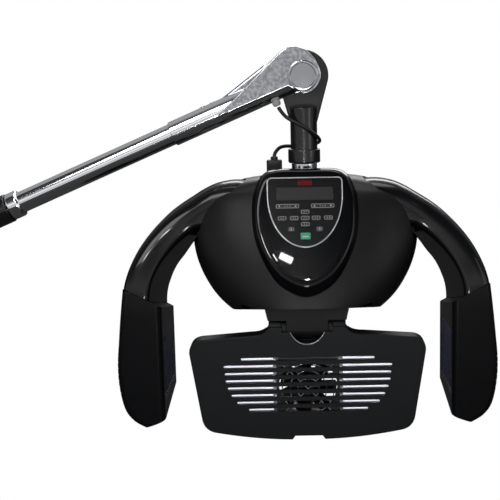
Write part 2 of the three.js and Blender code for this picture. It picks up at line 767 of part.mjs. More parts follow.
const fascia = new THREE.Group();
fascia.applyMatrix4(fasciaTurn);
hanging.add(fascia);

function controlShield() {
  const opening = solid(fasciaPlate(fasciaShape(2 * GAP + TRIM_W), -BIG, BIG));
  const hollow = solid(shapeOf(shieldSolid(-WALL)).translate(0, 0, 0));
  return cutBy(shieldSolid(0), hollow, opening);
}

function panelTrim() {
  const outer = solid(fasciaPlate(fasciaShape(GAP + TRIM_W), -FASCIA_T, TRIM_PROUD));
  return cutBy(outer, solid(fasciaPlate(fasciaShape(GAP), -BIG, BIG)));
}

function controlPanel() {
  const plate = solid(fasciaPlate(fasciaShape(0), -FASCIA_T, 0));
  const keys = Object.values(KEY_LAYOUT).map((key) => solid(keyBlock(key, GAP, -BIG, BIG)));
  const windows = [DISPLAY, SENSOR].map((place) => solid(keyBlock(place, GAP, -BIG, BIG)));
  const standoffs = STANDOFFS.map(([x, v]) => {
    return solid(rod(STANDOFF_R, BOARD_TOP + GAP, -FASCIA_T / 2, 'z', 0, 8).translate(x, v, 0));
  });
  return joined(cutBy(plate, ...keys, ...windows), ...standoffs);
}

function keyBlock([x, v, w, h], grow, from, to) {
  return fasciaPlate(roundRect(x, v, w + 2 * grow, h + 2 * grow, KEY_CORNER + grow), from, to, 1);
}

function key(place) {
  const lipTop = -FASCIA_T - GAP;
  const cap = solid(keyBlock(place, 0, lipTop - KEY_LIP_T, KEY_PROUD));
  return joined(cap, solid(keyBlock(place, KEY_LIP, lipTop - KEY_LIP_T, lipTop)));
}

addPart(fascia, 'control_shield', controlShield(), GLOSS_BLACK);
addPart(fascia, 'control_panel', controlPanel(), GLOSS_BLACK);
addPart(fascia, 'panel_trim', panelTrim(), CHROME);
addPart(fascia, 'display_window', keyBlock(DISPLAY, 0, -WINDOW_SINK - WINDOW_T, -WINDOW_SINK), DISPLAY_GLASS);
addPart(fascia, 'sensor_window', keyBlock(SENSOR, 0, -WINDOW_SINK - WINDOW_T, -WINDOW_SINK), SENSOR_RED);
addPart(fascia, 'control_board',
  fasciaPlate(fasciaShape(-BOARD_INSET), BOARD_TOP - BOARD_T, BOARD_TOP, 6), BOARD_GREEN);
for (const [name, place] of Object.entries(KEY_LAYOUT)) {
  addPart(fascia, name, key(place), name === 'key_start' ? KEY_GREEN : KEY_DARK);
}

// Dome shells, cut for the arms, the swivel, the shield and the plug
function domeShells() {
  const skin = cutBy(domeSolid(0), domeSolid(WALL), belowFoot(0));
  const windowHalf = ARM_ROOT_HALF + WALL;
  const windows = [-1, 1].map((side) => {
    const near = side * WINDOW_X;
    const far = side * BIG;
    return solid(block(Math.min(near, far), Math.max(near, far), -windowHalf, windowHalf, WINDOW_FOOT, BIG));
  });
  const neck = solid(rod(NECK_HOLE_R, -BIG, BIG, 'z'));
  const shield = solid(shapeOf(shieldSolid(GAP)).applyMatrix4(fasciaTurn));
  const plug = solid(leadPlug(GAP));
  const shell = cutBy(skin, ...windows, neck, shield, plug);
  const front = cutBy(shell, solid(block(-BIG, BIG, -GAP / 2, BIG, -BIG, BIG)));
  const rear = cutBy(shell, solid(block(-BIG, BIG, -BIG, GAP / 2, -BIG, BIG)));
  return { front, rear };
}

function bracketBlock(grow) {
  const shape = polygon([
    [-BRACKET_HALF_TOP - grow, BRACKET_TOP + grow], [BRACKET_HALF_TOP + grow, BRACKET_TOP + grow],
    [BRACKET_HALF_FOOT + grow, BRACKET_FOOT - grow], [-BRACKET_HALF_FOOT - grow, BRACKET_FOOT - grow],
  ]);
  return solid(slab(shape, HINGE_Y - BRACKET_DEPTH - grow, -PLATE_Y - PLATE_T / 2 + grow));
}

function underHinge(radius, from, to) {
  return solid(rod(radius, from, to, 'x').translate(0, HINGE_Y, HINGE_Z));
}

function undersideCover() {
  const plate = cutBy(domeSolid(WALL + GAP), belowFoot(0), cutBy(solid(block(-BIG, BIG, -BIG, BIG, -BIG, BIG)),
    belowFoot(COVER_T)));
  return cutBy(plate, bracketBlock(GAP));
}

function headChassis() {
  const half = [[0, CHASSIS_TOP], ...CHASSIS_SIDE];
  half.push([BRACKET_HALF_TOP - 6, BRACKET_TOP], [0, BRACKET_TOP]);
  const outline = bothSides(half.map(([x, z]) => new THREE.Vector2(x, z)));
  const plates = [-1, 1].map((side) => {
    const y = side * (PLATE_Y + PLATE_T / 2);
    return solid(slab(new THREE.Shape(outline), y - PLATE_T / 2, y + PLATE_T / 2));
  });
  const reach = PLATE_Y + PLATE_T / 2;
  const top = solid(block(-CHASSIS_TOP_HALF, CHASSIS_TOP_HALF, -reach, reach,
    CHASSIS_TOP - CHASSIS_TOP_T, CHASSIS_TOP));
  const boss = solid(rod(BOSS_R, CHASSIS_TOP - CHASSIS_TOP_T / 2, BOSS_TOP, 'z', 1));
  const spindle = solid(rod(SPINDLE_FOOT_R + GAP, -BIG, BIG, 'z'));
  const tongue = underHinge(TONGUE_R, -TONGUE_HALF, TONGUE_HALF);
  const web = solid(block(-TONGUE_HALF, TONGUE_HALF, HINGE_Y - TONGUE_R, HINGE_Y + TONGUE_R,
    HINGE_Z, BRACKET_FOOT + 5));
  const lugRoom = [[-BIG, -TONGUE_HALF], [TONGUE_HALF, BIG]].map(([a, b]) => {
    return underHinge(BARREL_R + 2 * GAP, a, b);
  });
  const pins = [-1, 1].map((side) => {
    return solid(rod(PIN_R + GAP, -BIG, BIG, 'y').translate(side * HUB_X, 0, HUB_Z));
  });
  const bracket = cutBy(bracketBlock(0), ...lugRoom);
  const body = joined(plates[0], top, plates[1], boss, bracket, web, tongue);
  return cutBy(body, spindle, underHinge(HINGE_PIN_R + GAP, -BIG, BIG), ...pins);
}

const shells = domeShells();
addPart(hanging, 'head_chassis', headChassis(), STEEL);
addPart(hanging, 'head_front_shell', shells.front, SATIN_BLACK);
addPart(hanging, 'head_rear_shell', shells.rear, SATIN_BLACK);
addPart(hanging, 'underside_cover', undersideCover(), SATIN_BLACK);

// Right arm: a band of rounded sections round the sweep centre; the left one is its mirror image
function armRing(share, depth) {
  const angle = along(ARM_STATIONS, 0, share);
  const [outer, nearInner, farInner] = [1, 2, 3].map((column) => along(ARM_STATIONS, column, share));
  const grown = THREE.MathUtils.smoothstep(-angle, -ARM_GROW_FROM, -ARM_GROW_TO);
  const half = THREE.MathUtils.lerp(ARM_ROOT_HALF, ARM_FOOT_HALF, grown) - depth;
  const edge = THREE.MathUtils.lerp(ARM_EDGE_ROOT, ARM_EDGE_FOOT, grown);
  const section = [
    [nearInner + depth, -half, ARM_INNER_EDGE], [outer - depth, -half, edge],
    [outer - depth, half, edge], [farInner + depth, half, ARM_INNER_EDGE],
  ];
  const ring = [];
  section.forEach(([r, y, round], i) => {
    const corner = new THREE.Vector2(r, y);
    const [before, after] = [section[(i + 3) % 4], section[(i + 1) % 4]].map(([rr, yy]) => {
      const way = new THREE.Vector2(rr, yy).sub(corner).normalize();
      return corner.clone().addScaledVector(way, round);
    });
    const bend = new THREE.QuadraticBezierCurve(before, corner, after);
    ring.push(...bend.getPoints(2));
  });
  const [c, s] = [Math.cos(angle * DEG), Math.sin(angle * DEG)];
  return ring.map((p) => new THREE.Vector3(SWEEP_X + p.x * c, p.y, SWEEP_Z + p.x * s));
}

function armBand(depth, from) {
  const rings = [];
  for (let i = 0; i <= ARM_RINGS; i += 1) {
    rings.push(armRing(THREE.MathUtils.lerp(from, 1, i / ARM_RINGS), depth));
  }
  return solid(lofted(rings));
}

// The space below a plane through a point, with the plane's rise per X and its fall per Y
function underPlane(x, y, z, slopeX, slopeY) {
  const plane = new THREE.Vector3(-slopeX, slopeY, 1).normalize();
  const space = new THREE.BoxGeometry(BIG, BIG, BIG).translate(0, 0, -BIG / 2);
  const turn = new THREE.Quaternion().setFromUnitVectors(new THREE.Vector3(0, 0, 1), plane);
  return solid(space.applyQuaternion(turn).translate(x, y, z));
}

// The space on the pod's side of the seam, moved down by a distance
function podSide(drop) {
  return underPlane(SEAM_X, -ARM_FOOT_HALF, SEAM_Z - drop, SEAM_SLOPE_X, SEAM_SLOPE_Y);
}

// The space under the pod's sloping foot, moved up by a distance
function underPod(lift) {
  return underPlane(POD_FACE_X, -POD_HALF, POD_FOOT + lift, POD_FOOT_SLOPE_X, POD_FOOT_SLOPE_Y);
}

function armShell() {
  const hub = solid(rod(HUB_R, -ARM_ROOT_HALF, ARM_ROOT_HALF, 'y', 2).translate(HUB_X, 0, HUB_Z));
  const pin = solid(rod(PIN_R + GAP, -BIG, BIG, 'y').translate(HUB_X, 0, HUB_Z));
  const hollow = cutBy(armBand(WALL, 0.36), solid(rod(HUB_R + 2, -BIG, BIG, 'y').translate(HUB_X, 0, HUB_Z)));
  return cutBy(joined(armBand(0, 0), hub), hollow, pin, podSide(0));
}

function podOutline() {
  const outer = new THREE.SplineCurve(POD_OUTER.map(([x, z]) => new THREE.Vector2(x, z))).getPoints(14);
  const [tip, top] = [outer[0], outer[outer.length - 1]];
  const inner = [new THREE.Vector2(POD_FACE_X, POD_TOP), new THREE.Vector2(POD_FACE_X, tip.y)];
  outer.push(new THREE.Vector2(top.x - 1, POD_TOP));
  return [...inner, ...outer];
}

function podShell() {
  const outline = podOutline();
  const body = cutBy(solid(slab(new THREE.Shape(outline), -POD_HALF, POD_HALF, POD_EDGE)), underPod(0));
  const room = cutBy(
    solid(slab(new THREE.Shape(inset(outline, POD_WALL)), POD_WALL - POD_HALF, POD_HALF - POD_WALL,
      POD_EDGE - 3)),
    cutBy(solid(block(-BIG, BIG, -BIG, BIG, -BIG, BIG)), podSide(POD_WALL + GAP)),
    underPod(POD_WALL),
  );
  const mouth = solid(block(POD_FACE_X - BIG, POD_FACE_X + 2 * POD_WALL, -POD_OPEN_HALF, POD_OPEN_HALF,
    POD_OPEN_FOOT, POD_OPEN_TOP));
  const studs = [];
  for (const y of [-1, 1]) {
    for (const z of [POD_REFLECTOR_TOP - 12, POD_REFLECTOR_FOOT + 12]) {
      const stud = rod(STUD_R, POD_REFLECTOR_X + SHEET_T + GAP, BIG, 'x', 0, 12);
      studs.push(solid(stud.translate(0, y * (POD_REFLECTOR_HALF - 12), z)).intersect(body));
    }
  }
  const kept = podSide(GAP + 0.1);
  return joined(cutBy(body, room, mouth), ...studs).intersect(kept);
}

function podGuard() {
  const half = POD_OPEN_HALF - GAP;
  const top = POD_OPEN_TOP - GAP;
  const foot = POD_OPEN_FOOT + GAP;
  const plate = solid(block(POD_FACE_X + 1, POD_FACE_X + 1 + GUARD_T, -half, half, foot, top));
  const pitch = (2 * half - 2 * GUARD_RIM + GUARD_BAR) / GUARD_BARS;
  const openings = [];
  for (let i = 0; i < GUARD_BARS; i += 1) {
    const from = -half + GUARD_RIM + i * pitch;
    openings.push(solid(block(0, BIG, from, from + pitch - GUARD_BAR, foot + GUARD_RIM, top - GUARD_RIM)));
  }
  return cutBy(plate, ...openings);
}

function podReflector() {
  const half = POD_REFLECTOR_HALF;
  const front = POD_FACE_X + 1 + GUARD_T + GAP;
  const [top, foot] = [POD_REFLECTOR_TOP, POD_REFLECTOR_FOOT];
  const back = POD_REFLECTOR_X + SHEET_T;
  const body = solid(block(front, back, -half, half, foot, top));
  return cutBy(body, solid(block(0, POD_REFLECTOR_X, -BIG, BIG, foot + SHEET_T, top - SHEET_T)));
}

function lamp(length, axis) {
  const capFrom = length / 2 - LAMP_CAP_L;
  const profile = [[0, -length / 2], [LAMP_CAP_R, -length / 2], [LAMP_CAP_R, -capFrom], [LAMP_R, -capFrom]];
  profile.push([LAMP_R, capFrom], [LAMP_CAP_R, capFrom], [LAMP_CAP_R, length / 2], [0, length / 2]);
  return turned(profile, axis, 16);
}

function podLamp() {
  const length = POD_REFLECTOR_TOP - POD_REFLECTOR_FOOT - 2 * SHEET_T - 2 * GAP;
  const x = (POD_FACE_X + 1 + GUARD_T + POD_REFLECTOR_X) / 2;
  return lamp(length, 'z').translate(x, 0, (POD_REFLECTOR_TOP + POD_REFLECTOR_FOOT) / 2);
}

function armPin() {
  const back = PLATE_Y + PLATE_T + GAP;
  const profile = [[0, -back], [PIN_R, -back], [PIN_R, back], [PIN_HEAD_R, back]];
  profile.push([PIN_HEAD_R, back + PIN_HEAD_H], [0, back + PIN_HEAD_H]);
  return turned(profile, 'y', 24).translate(HUB_X, 0, HUB_Z);
}

const sidePieces = {
  arm_shell: [armShell(), SATIN_BLACK],
  pod_shell: [podShell(), SATIN_BLACK],
  pod_reflector: [podReflector(), MIRROR_SHEET],
  pod_lamp: [podLamp(), QUARTZ],
  pod_guard: [podGuard(), CHROME],
  arm_pin: [armPin(), STEEL],
};
for (const [name, [body, material]] of Object.entries(sidePieces)) {
  addPart(hanging, `${name}_right`, body, material);
  addPart(hanging, `${name}_left`, mirrored(body), material);
}

// Centre panel
function panelOutline() {
  const half = new THREE.Path();
  half.moveTo(0, PANEL_NECK);
  half.lineTo(LUG_TO, PANEL_NECK);
  half.quadraticCurveTo(LUG_TO + 5, PANEL_SHOULDER + 5, LUG_TO + 26, PANEL_SHOULDER + 5);
  half.lineTo(PANEL_HALF - PANEL_CORNER, PANEL_SHOULDER);
  half.quadraticCurveTo(PANEL_HALF, PANEL_SHOULDER - 1, PANEL_HALF, PANEL_SHOULDER - PANEL_CORNER);
  half.lineTo(PANEL_FOOT_HALF, PANEL_SIDE_FOOT);
  half.quadraticCurveTo(PANEL_FOOT_HALF - 3, PANEL_SIDE_FOOT - 19, PANEL_FOOT_HALF - 21, PANEL_SIDE_FOOT - 22);
  half.quadraticCurveTo(PANEL_FOOT_HALF / 2, PANEL_FOOT + 1, PANEL_NOTCH_HALF + 4, PANEL_FOOT);
  half.lineTo(PANEL_NOTCH_HALF, PANEL_FOOT + PANEL_NOTCH);
  half.lineTo(0, PANEL_FOOT + PANEL_NOTCH);
  return bothSides(half.getPoints(4));
}

function panelFront() {
  const outline = panelOutline();
  const body = solid(slab(new THREE.Shape(outline), PANEL_FRONT_Y, PANEL_RIM_Y, PANEL_EDGE));
  const behind = solid(block(-BIG, BIG, PANEL_SPLIT_Y, BIG, -BIG, BIG));
  const room = solid(slab(new THREE.Shape(inset(outline, WALL)), PANEL_FRONT_Y + WALL, BIG));
  const lugs = [-1, 1].map((side) => {
    const [a, b] = [side * LUG_FROM, side * LUG_TO];
    return underHinge(BARREL_R, Math.min(a, b), Math.max(a, b));
  });
  const studs = [];
  for (const side of [-1, 1]) {
    for (const [x, z] of STUD_PLACES) {
      const stud = rod(STUD_R, PANEL_FRONT_Y + WALL / 2, WING_Y - GAP, 'y', 0, 12);
      studs.push(solid(stud.translate(side * x, 0, z)));
    }
  }
  const vee = solid(slab(polygon([
    [-VEE_HALF, BRACKET_FOOT], [VEE_HALF, BRACKET_FOOT], [VEE_HALF - 4, PANEL_NECK - 4], [9, VEE_TIP + 3],
    [0, VEE_TIP], [-9, VEE_TIP + 3], [4 - VEE_HALF, PANEL_NECK - 4],
  ]), -BIG, HINGE_Y));
  const slots = SLOT_HALVES.map((reach, i) => {
    const shape = roundRect(0, SLOT_TOP - i * SLOT_PITCH, 2 * reach, SLOT_H, SLOT_H / 2);
    return solid(slab(shape, PANEL_FRONT_Y - 1, PANEL_FRONT_Y + WALL + 1, 0, 2));
  });
  const tray = cutBy(body, behind, room, ...slots);
  const tongueRoom = underHinge(TONGUE_R + 4, -LUG_FROM, LUG_FROM);
  const whole = cutBy(joined(tray, ...studs, ...lugs), vee, tongueRoom);
  return cutBy(whole, underHinge(HINGE_PIN_R + GAP, -BIG, BIG));
}

// The box behind the lamps, which stands out of the panel's rim
function humpOutline(shrink) {
  const height = HUMP_TOP - HUMP_FOOT - 2 * shrink;
  return roundRect(0, (HUMP_TOP + HUMP_FOOT) / 2, 2 * (HUMP_HALF - shrink), height, HUMP_CORNER - shrink);
}

function panelBack() {
  const outline = panelOutline();
  const body = solid(slab(new THREE.Shape(outline), PANEL_FRONT_Y, PANEL_RIM_Y, PANEL_EDGE));
  const before = solid(block(-BIG, BIG, -BIG, PANEL_SPLIT_Y + GAP, -BIG, BIG));
  const room = solid(slab(new THREE.Shape(inset(outline, WALL)), -BIG, PANEL_RIM_Y - WALL));
  const hump = solid(slab(humpOutline(0), PANEL_FRONT_Y, PANEL_BACK_Y, HUMP_EDGE, 2));
  const humpRoom = solid(slab(humpOutline(WALL), -BIG, PANEL_BACK_Y - WALL, 0, 2));
  const opening = solid(block(-BACK_OPEN_HALF, BACK_OPEN_HALF, -BIG, BIG, BACK_OPEN_FOOT, BACK_OPEN_TOP));
  const pitch = (BACK_OPEN_TOP - BACK_OPEN_FOOT) / (BACK_BARS + 1);
  const bars = [];
  for (let i = 1; i <= BACK_BARS; i += 1) {
    const z = BACK_OPEN_FOOT + i * pitch;
    bars.push(solid(block(-BACK_OPEN_HALF - 1, BACK_OPEN_HALF + 1, PANEL_BACK_Y - WALL, PANEL_BACK_Y,
      z - BACK_BAR / 2, z + BACK_BAR / 2)));
  }
  const hinge = underHinge(BARREL_R + 4, -LUG_TO - 4, LUG_TO + 4);
  return joined(cutBy(joined(body, hump), before, room, humpRoom, opening, hinge), ...bars);
}

// A folded sheet: wings close behind the slots, a well for the fan and an upturned flange at each end
function panelReflector() {
  const flangeEnd = REFLECTOR_Y + SHEET_T + REFLECTOR_FLANGE;
  const half = [[0, REFLECTOR_Y], [WING_FROM, REFLECTOR_Y], [WING_FROM, WING_Y], [REFLECTOR_HALF, WING_Y]];
  half.push([REFLECTOR_HALF, flangeEnd], [REFLECTOR_HALF - SHEET_T, flangeEnd]);
  half.push([REFLECTOR_HALF - SHEET_T, WING_Y + SHEET_T], [WING_FROM + SHEET_T, WING_Y + SHEET_T]);
  half.push([WING_FROM + SHEET_T, REFLECTOR_Y + SHEET_T], [0, REFLECTOR_Y + SHEET_T]);
  const section = new THREE.Shape(bothSides(half.map(([x, y]) => new THREE.Vector2(x, y))));
  const sheet = extruded(section, REFLECTOR_TOP - REFLECTOR_FOOT, 0).translate(0, 0, REFLECTOR_FOOT);
  const fan = solid(rod(FAN_BORE_R, -BIG, BIG, 'y').translate(0, 0, FAN_Z));
  return cutBy(solid(sheet), fan);
}

function fanFrame() {
  const body = solid(slab(roundRect(0, FAN_Z, FAN_SIZE, FAN_SIZE, FAN_CORNER), FAN_FRONT_Y, FAN_BACK_Y));
  const bore = solid(rod(FAN_BORE_R, -BIG, BIG, 'y', 0, 36).translate(0, 0, FAN_Z));
  const strutFrom = FAN_BACK_Y - FAN_STRUT_T;
  const motor = solid(rod(FAN_HUB_R, strutFrom, FAN_BACK_Y, 'y').translate(0, 0, FAN_Z));
  const struts = [0, 90].map((turn) => {
    const strut = block(-FAN_BORE_R - 1, FAN_BORE_R + 1, strutFrom, FAN_BACK_Y, -FAN_STRUT / 2, FAN_STRUT / 2);
    return solid(strut.rotateY((turn + 45) * DEG).translate(0, 0, FAN_Z));
  });
  const shaft = solid(rod(FAN_SHAFT_R + GAP, -BIG, BIG, 'y', 0, 16).translate(0, 0, FAN_Z));
  return cutBy(joined(cutBy(body, bore), motor, ...struts), shaft);
}

function fanRotor() {
  const hubTo = FAN_BACK_Y - FAN_STRUT_T - GAP;
  const hubFrom = hubTo - FAN_HUB_DEPTH;
  const hub = solid(rod(FAN_HUB_R, hubFrom, hubTo, 'y', 1));
  const shaft = solid(rod(FAN_SHAFT_R, hubTo - 1, FAN_BACK_Y - GAP, 'y', 0, 16));
  const reach = FAN_BORE_R - BLADE_TIP_GAP;
  const swept = solid(rod(reach, hubFrom, hubTo - GAP, 'y', 0, 36));
  const blades = [];
  for (let i = 0; i < BLADES; i += 1) {
    const blade = block(FAN_HUB_R - 2, BIG, -BLADE_T / 2, BLADE_T / 2, -FAN_HUB_DEPTH, FAN_HUB_DEPTH);
    blade.rotateX(BLADE_PITCH * DEG).translate(0, (hubFrom + hubTo) / 2, 0).rotateY(i * 2 * Math.PI / BLADES);
    blades.push(solid(blade).intersect(swept));
  }
  return shapeOf(joined(hub, shaft, ...blades)).translate(0, 0, FAN_Z);
}

function fanGuard() {
  const y0 = PANEL_FRONT_Y + WALL + GAP;
  const y1 = y0 + GUARD_WIRE;
  const rings = GUARD_RINGS.map((r) => {
    return solid(tube(r + GUARD_WIRE / 2, r - GUARD_WIRE / 2, y0, y1, 'y', 0, 20).translate(0, 0, FAN_Z));
  });
  const spokeReach = FAN_SIZE / Math.SQRT2 - FAN_CORNER - 4;
  const spokes = [45, 135].map((turn) => {
    const spoke = block(-spokeReach, spokeReach, y0, y1, -GUARD_WIRE / 2, GUARD_WIRE / 2);
    return solid(spoke.rotateY(turn * DEG).translate(0, 0, FAN_Z));
  });
  return joined(...rings, ...spokes);
}

addPart(hanging, 'panel_front', panelFront(), SATIN_BLACK);
addPart(hanging, 'panel_back', panelBack(), SATIN_BLACK);
addPart(hanging, 'panel_reflector', panelReflector(), MIRROR_SHEET);
for (const [name, z] of Object.entries(LAMP_HEIGHTS)) {
  const length = 2 * (REFLECTOR_HALF - SHEET_T - GAP);
  addPart(hanging, name, lamp(length, 'x').translate(0, LAMP_Y, z), QUARTZ);
}
addPart(hanging, 'panel_hinge_pin',
  rod(HINGE_PIN_R, -LUG_TO, LUG_TO, 'x', 0.6, 20).translate(0, HINGE_Y, HINGE_Z), STEEL);
addPart(hanging, 'fan_frame', fanFrame(), BLACK_RUBBER);
addPart(hanging, 'fan_guard', fanGuard(), CHROME);
addPart(hanging, 'fan_rotor', fanRotor(), SATIN_BLACK);

const processor = new THREE.Group();
processor.add(boom, hanging);

export default processor;
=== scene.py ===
import json
import math

import bmesh
import bpy
from mathutils import Matrix, Vector


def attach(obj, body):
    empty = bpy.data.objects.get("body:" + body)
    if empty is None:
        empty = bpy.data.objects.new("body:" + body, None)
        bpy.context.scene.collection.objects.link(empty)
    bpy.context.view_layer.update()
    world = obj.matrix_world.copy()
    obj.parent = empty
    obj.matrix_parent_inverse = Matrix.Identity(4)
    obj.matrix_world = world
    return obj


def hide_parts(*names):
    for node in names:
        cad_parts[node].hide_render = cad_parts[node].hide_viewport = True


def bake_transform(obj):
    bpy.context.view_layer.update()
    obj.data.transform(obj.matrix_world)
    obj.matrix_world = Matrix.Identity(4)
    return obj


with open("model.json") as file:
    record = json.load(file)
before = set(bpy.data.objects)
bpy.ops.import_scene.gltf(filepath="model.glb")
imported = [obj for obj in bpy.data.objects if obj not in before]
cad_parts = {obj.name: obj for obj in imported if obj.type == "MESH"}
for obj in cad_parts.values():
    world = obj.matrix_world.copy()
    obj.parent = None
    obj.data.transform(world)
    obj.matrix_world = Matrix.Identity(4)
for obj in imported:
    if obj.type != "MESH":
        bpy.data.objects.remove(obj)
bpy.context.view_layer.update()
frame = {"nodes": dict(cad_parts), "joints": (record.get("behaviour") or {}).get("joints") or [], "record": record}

MM = 0.001

# Places in the hanging head are millimetres from the pivot axis: X right, Y back, Z up
PIVOT = Vector(next(j["pos_m"] for j in frame["joints"] if j["name"] == "boom_pivot"))
BOOM_LENGTH = PIVOT.length / MM
BOOM_TILT = math.atan2(PIVOT.z, PIVOT.x)
GAP = 0.3
WALL = 3
ROUND = 96

# Boom and lap joint
TUBE_R = 16
TUBE_WALL = 2
TUBE_IN_SOCKET = 95
SLEEVE_R = 22
SLEEVE_END = 116
PLUG_FLANGE = 8
COLLAR_R = 20.5
COLLAR_LENGTH = 19
SOCKET_R = 18.5
SOCKET_LENGTH = 213
SOCKET_STOP = 6
FAIRING_LENGTH = 128
CHEEK_LENGTH = 146
LAP_DEPTH = 19
LAP_GAP = 1.2
LAP_ROOM_R = 60
EAR_R = 27
EAR_FROM = -6
EAR_TO = -111
TANG_R = 38
TANG_FROM = -12
TANG_TO = 192
CAP_R = 22.5
CAP_H = 6
CAP_DISH = 5.5
GROMMET_R = 6.5
GROMMET_H = 7
GROMMET_NECK = 4
GROMMET_PLACE = 52
GROMMET_Y = -8

# Side outline of the casting, along the boom from the pivot and up
CROWN_START = (-18, 44.5)
CROWN_PEAK = (-6, 49.5)
CROWN_END = (8, 43)
NOSE_BEND = (EAR_R, 30)
NOSE_TIP = (EAR_R, 0)
CHEEK_TOE = (-CHEEK_LENGTH, -5)
CHEEK_HEEL = (-27, -6)
FAIRING_HEEL = (-40, 1 - SOCKET_R)

# Edges of the cap and the grommet: inset from the full radius, and distance from the seat or the foot
CAP_SIDE = (
    (0.5, 0), (0, 0.5), (0, CAP_H - 1.6), (0.5, CAP_H - 0.5), (1.6, CAP_H), (3.6, CAP_H), (4.6, CAP_H - 0.8),
)
GROMMET_SIDE = (
    (2.6, 0.2), (1.2, 1.2), (0.2, 4), (0, 5.5), (0, GROMMET_H), (2, GROMMET_H), (2, GROMMET_H + GROMMET_NECK),
)

# Post and swivel
POST_R = 20
POST_TOP = -46
TANG_FOOT = -70
POST_END = -129
POST_COLLAR_R = 24
POST_COLLAR_TOP = -108
FLANGE_R = 19
FLANGE_H = 10
SPINDLE_R = 12
SPINDLE_LENGTH = 34
WASHER_R = 24
WASHER_H = 4

# Dome: height, half-width, depth to the front, depth to the rear
DOME_STATIONS = (
    (-146, 6, 6, 6),
    (-148.5, 64, 34, 40),
    (-155, 104, 46, 55),
    (-163, 130, 54, 68),
    (-172, 148, 61, 77),
    (-190, 159, 71, 88),
    (-212, 165, 81, 97),
    (-235, 168.5, 90, 103),
    (-262, 165, 99, 106),
    (-290, 155, 106, 106),
    (-318, 138, 110.5, 103),
    (-340, 115, 112, 98),
    (-364, 78, 110, 92),
)
DOME_POWER = 2.8
DOME_LEVELS = 52
DOME_SIDES = 112
DOME_FOOT = -350
DOME_FOOT_RISE = 0.1875
NECK_HOLE_R = 32
TIP_NOTCH = ((64, -331), (84, -327), (94, -325), (95, -370), (64, -370))
TIP_NOTCH_BACK = -30
COVER_T = 2.5
WINDOW_TIP = (88, 24)
WINDOW_SHOULDER = (107, 45)
WINDOW_FOOT = -242
BIG = 900

# Arms: angle, outer radius, inner radius at the front and at the back, round the sweep's centre
SWEEP_X = 140
SWEEP_Z = -330
ARM_STATIONS = (
    (110, 182, 120, 120),
    (103, 181, 118, 118),
    (93, 172.5, 112, 112),
    (86, 164, 110, 110),
    (78, 154.5, 111, 96),
    (66, 145.5, 104, 83),
    (50, 137.5, 98, 74),
    (32, 133, 95, 73),
    (15, 131.5, 93, 75),
    (2, 132, 91, 79),
    (-14, 138, 90, 85),
    (-25, 144, 90, 90),
)
ARM_RINGS = 72
ARM_ROOT_HALF = 42
ARM_FOOT_HALF = 75
ARM_GROW_FROM = 78
ARM_GROW_TO = 4
ARM_EDGE_ROOT = 31
ARM_EDGE_FOOT = 14
ARM_INNER_EDGE = 8
CORNER_STEPS = 8
HUB_X = 110
HUB_Z = -212
HUB_R = 34

# Pods
SEAM_POINT = (268.5, -75, -303)
SEAM_SLOPE_X = 0.5
SEAM_SLOPE_Y = 0.2
POD_FACE_X = 213
POD_TOP = -285
POD_FOOT = -503
POD_FOOT_SLOPE_X = -0.41
POD_FOOT_SLOPE_Y = -0.12
POD_OUTER = (
    (242, -516), (260, -505), (273, -487), (280, -455),
    (281.5, -420), (278, -380), (273.5, -338), (268, -295),
)
POD_STEPS = 36
POD_HALF = 77
POD_VENT_X = 277.6
POD_VENT_Y = -52
POD_VENT_H = 2.2
POD_VENTS = tuple(-462 + 9.4 * k for k in range(6))
POD_EDGE = 9
POD_WALL = 3.5
POD_OPEN_HALF = 64
POD_OPEN_TOP = -376
POD_OPEN_FOOT = -474
POD_ROOM_TO = 268
POD_ROOM_INSET = 6
POD_ROOM_TOP = -372
POD_ROOM_FOOT = -480

# Shield and fascia
FASCIA_LEAN = math.radians(22)
FASCIA_PLACE = (0, -81, -193.5)
FASCIA_HALF = 53
FASCIA_TOP = 50.5
FASCIA_FOOT = -50.5
FASCIA_WAIST = 26
FASCIA_CORNER = 5
TRIM_W = 1.4
TRIM_PROUD = 0.6
SHIELD_OUTLINE = (
    (0, 70), (43, 69.5), (61, 62), (70.5, 46), (76.5, 24), (78.5, -4),
    (74, -40), (58, -78), (35, -106), (0, -121),
)
SHIELD_CENTRE = -8
SHIELD_CROWN = 18
SHIELD_DROP = 33
SHIELD_POWER = 6
SHIELD_RINGS = 14
SHIELD_DRAW = 0.4
SHIELD_SOFT = 1.6
SHIELD_SKIRT = 4
SHIELD_HOOD = 15
HOOD_FROM = 42
HOOD_TO = 58
KEY_PROUD = 0.8
KEY_CORNER = 1.4
KEY_REACH = 1.4
MARK_W = 0.45
MARK_PROUD = 0.06
MARK_SINK = 0.1
FRAME_INSET = 0.5
ARROW_SIZE = 1.6
ARROW_INSET = 5
DOT_PITCH = 3.6
TIMER_DOT = 0.55
SMALL_DOT = 0.6
SMALL_DOT_PLACE = 1.6
ROUND_DOT = 1.1
ROUND_FRAME = (7.2, 5)
ROUND_FRAME_INSET = 0.1
START_BAR = (9, 1.6)
START_BAR_DROP = 1
START_BAR_CORNER = 0.6
CROSS_Z = -8.9
CROSS_PITCH_X = 15.7
CROSS_PITCH_Z = 9.1
LONG_KEY = (33.5, 6.6)
SMALL_KEY = (12.4, 6.2)
ROUND_KEY = (9.2, 6.6)
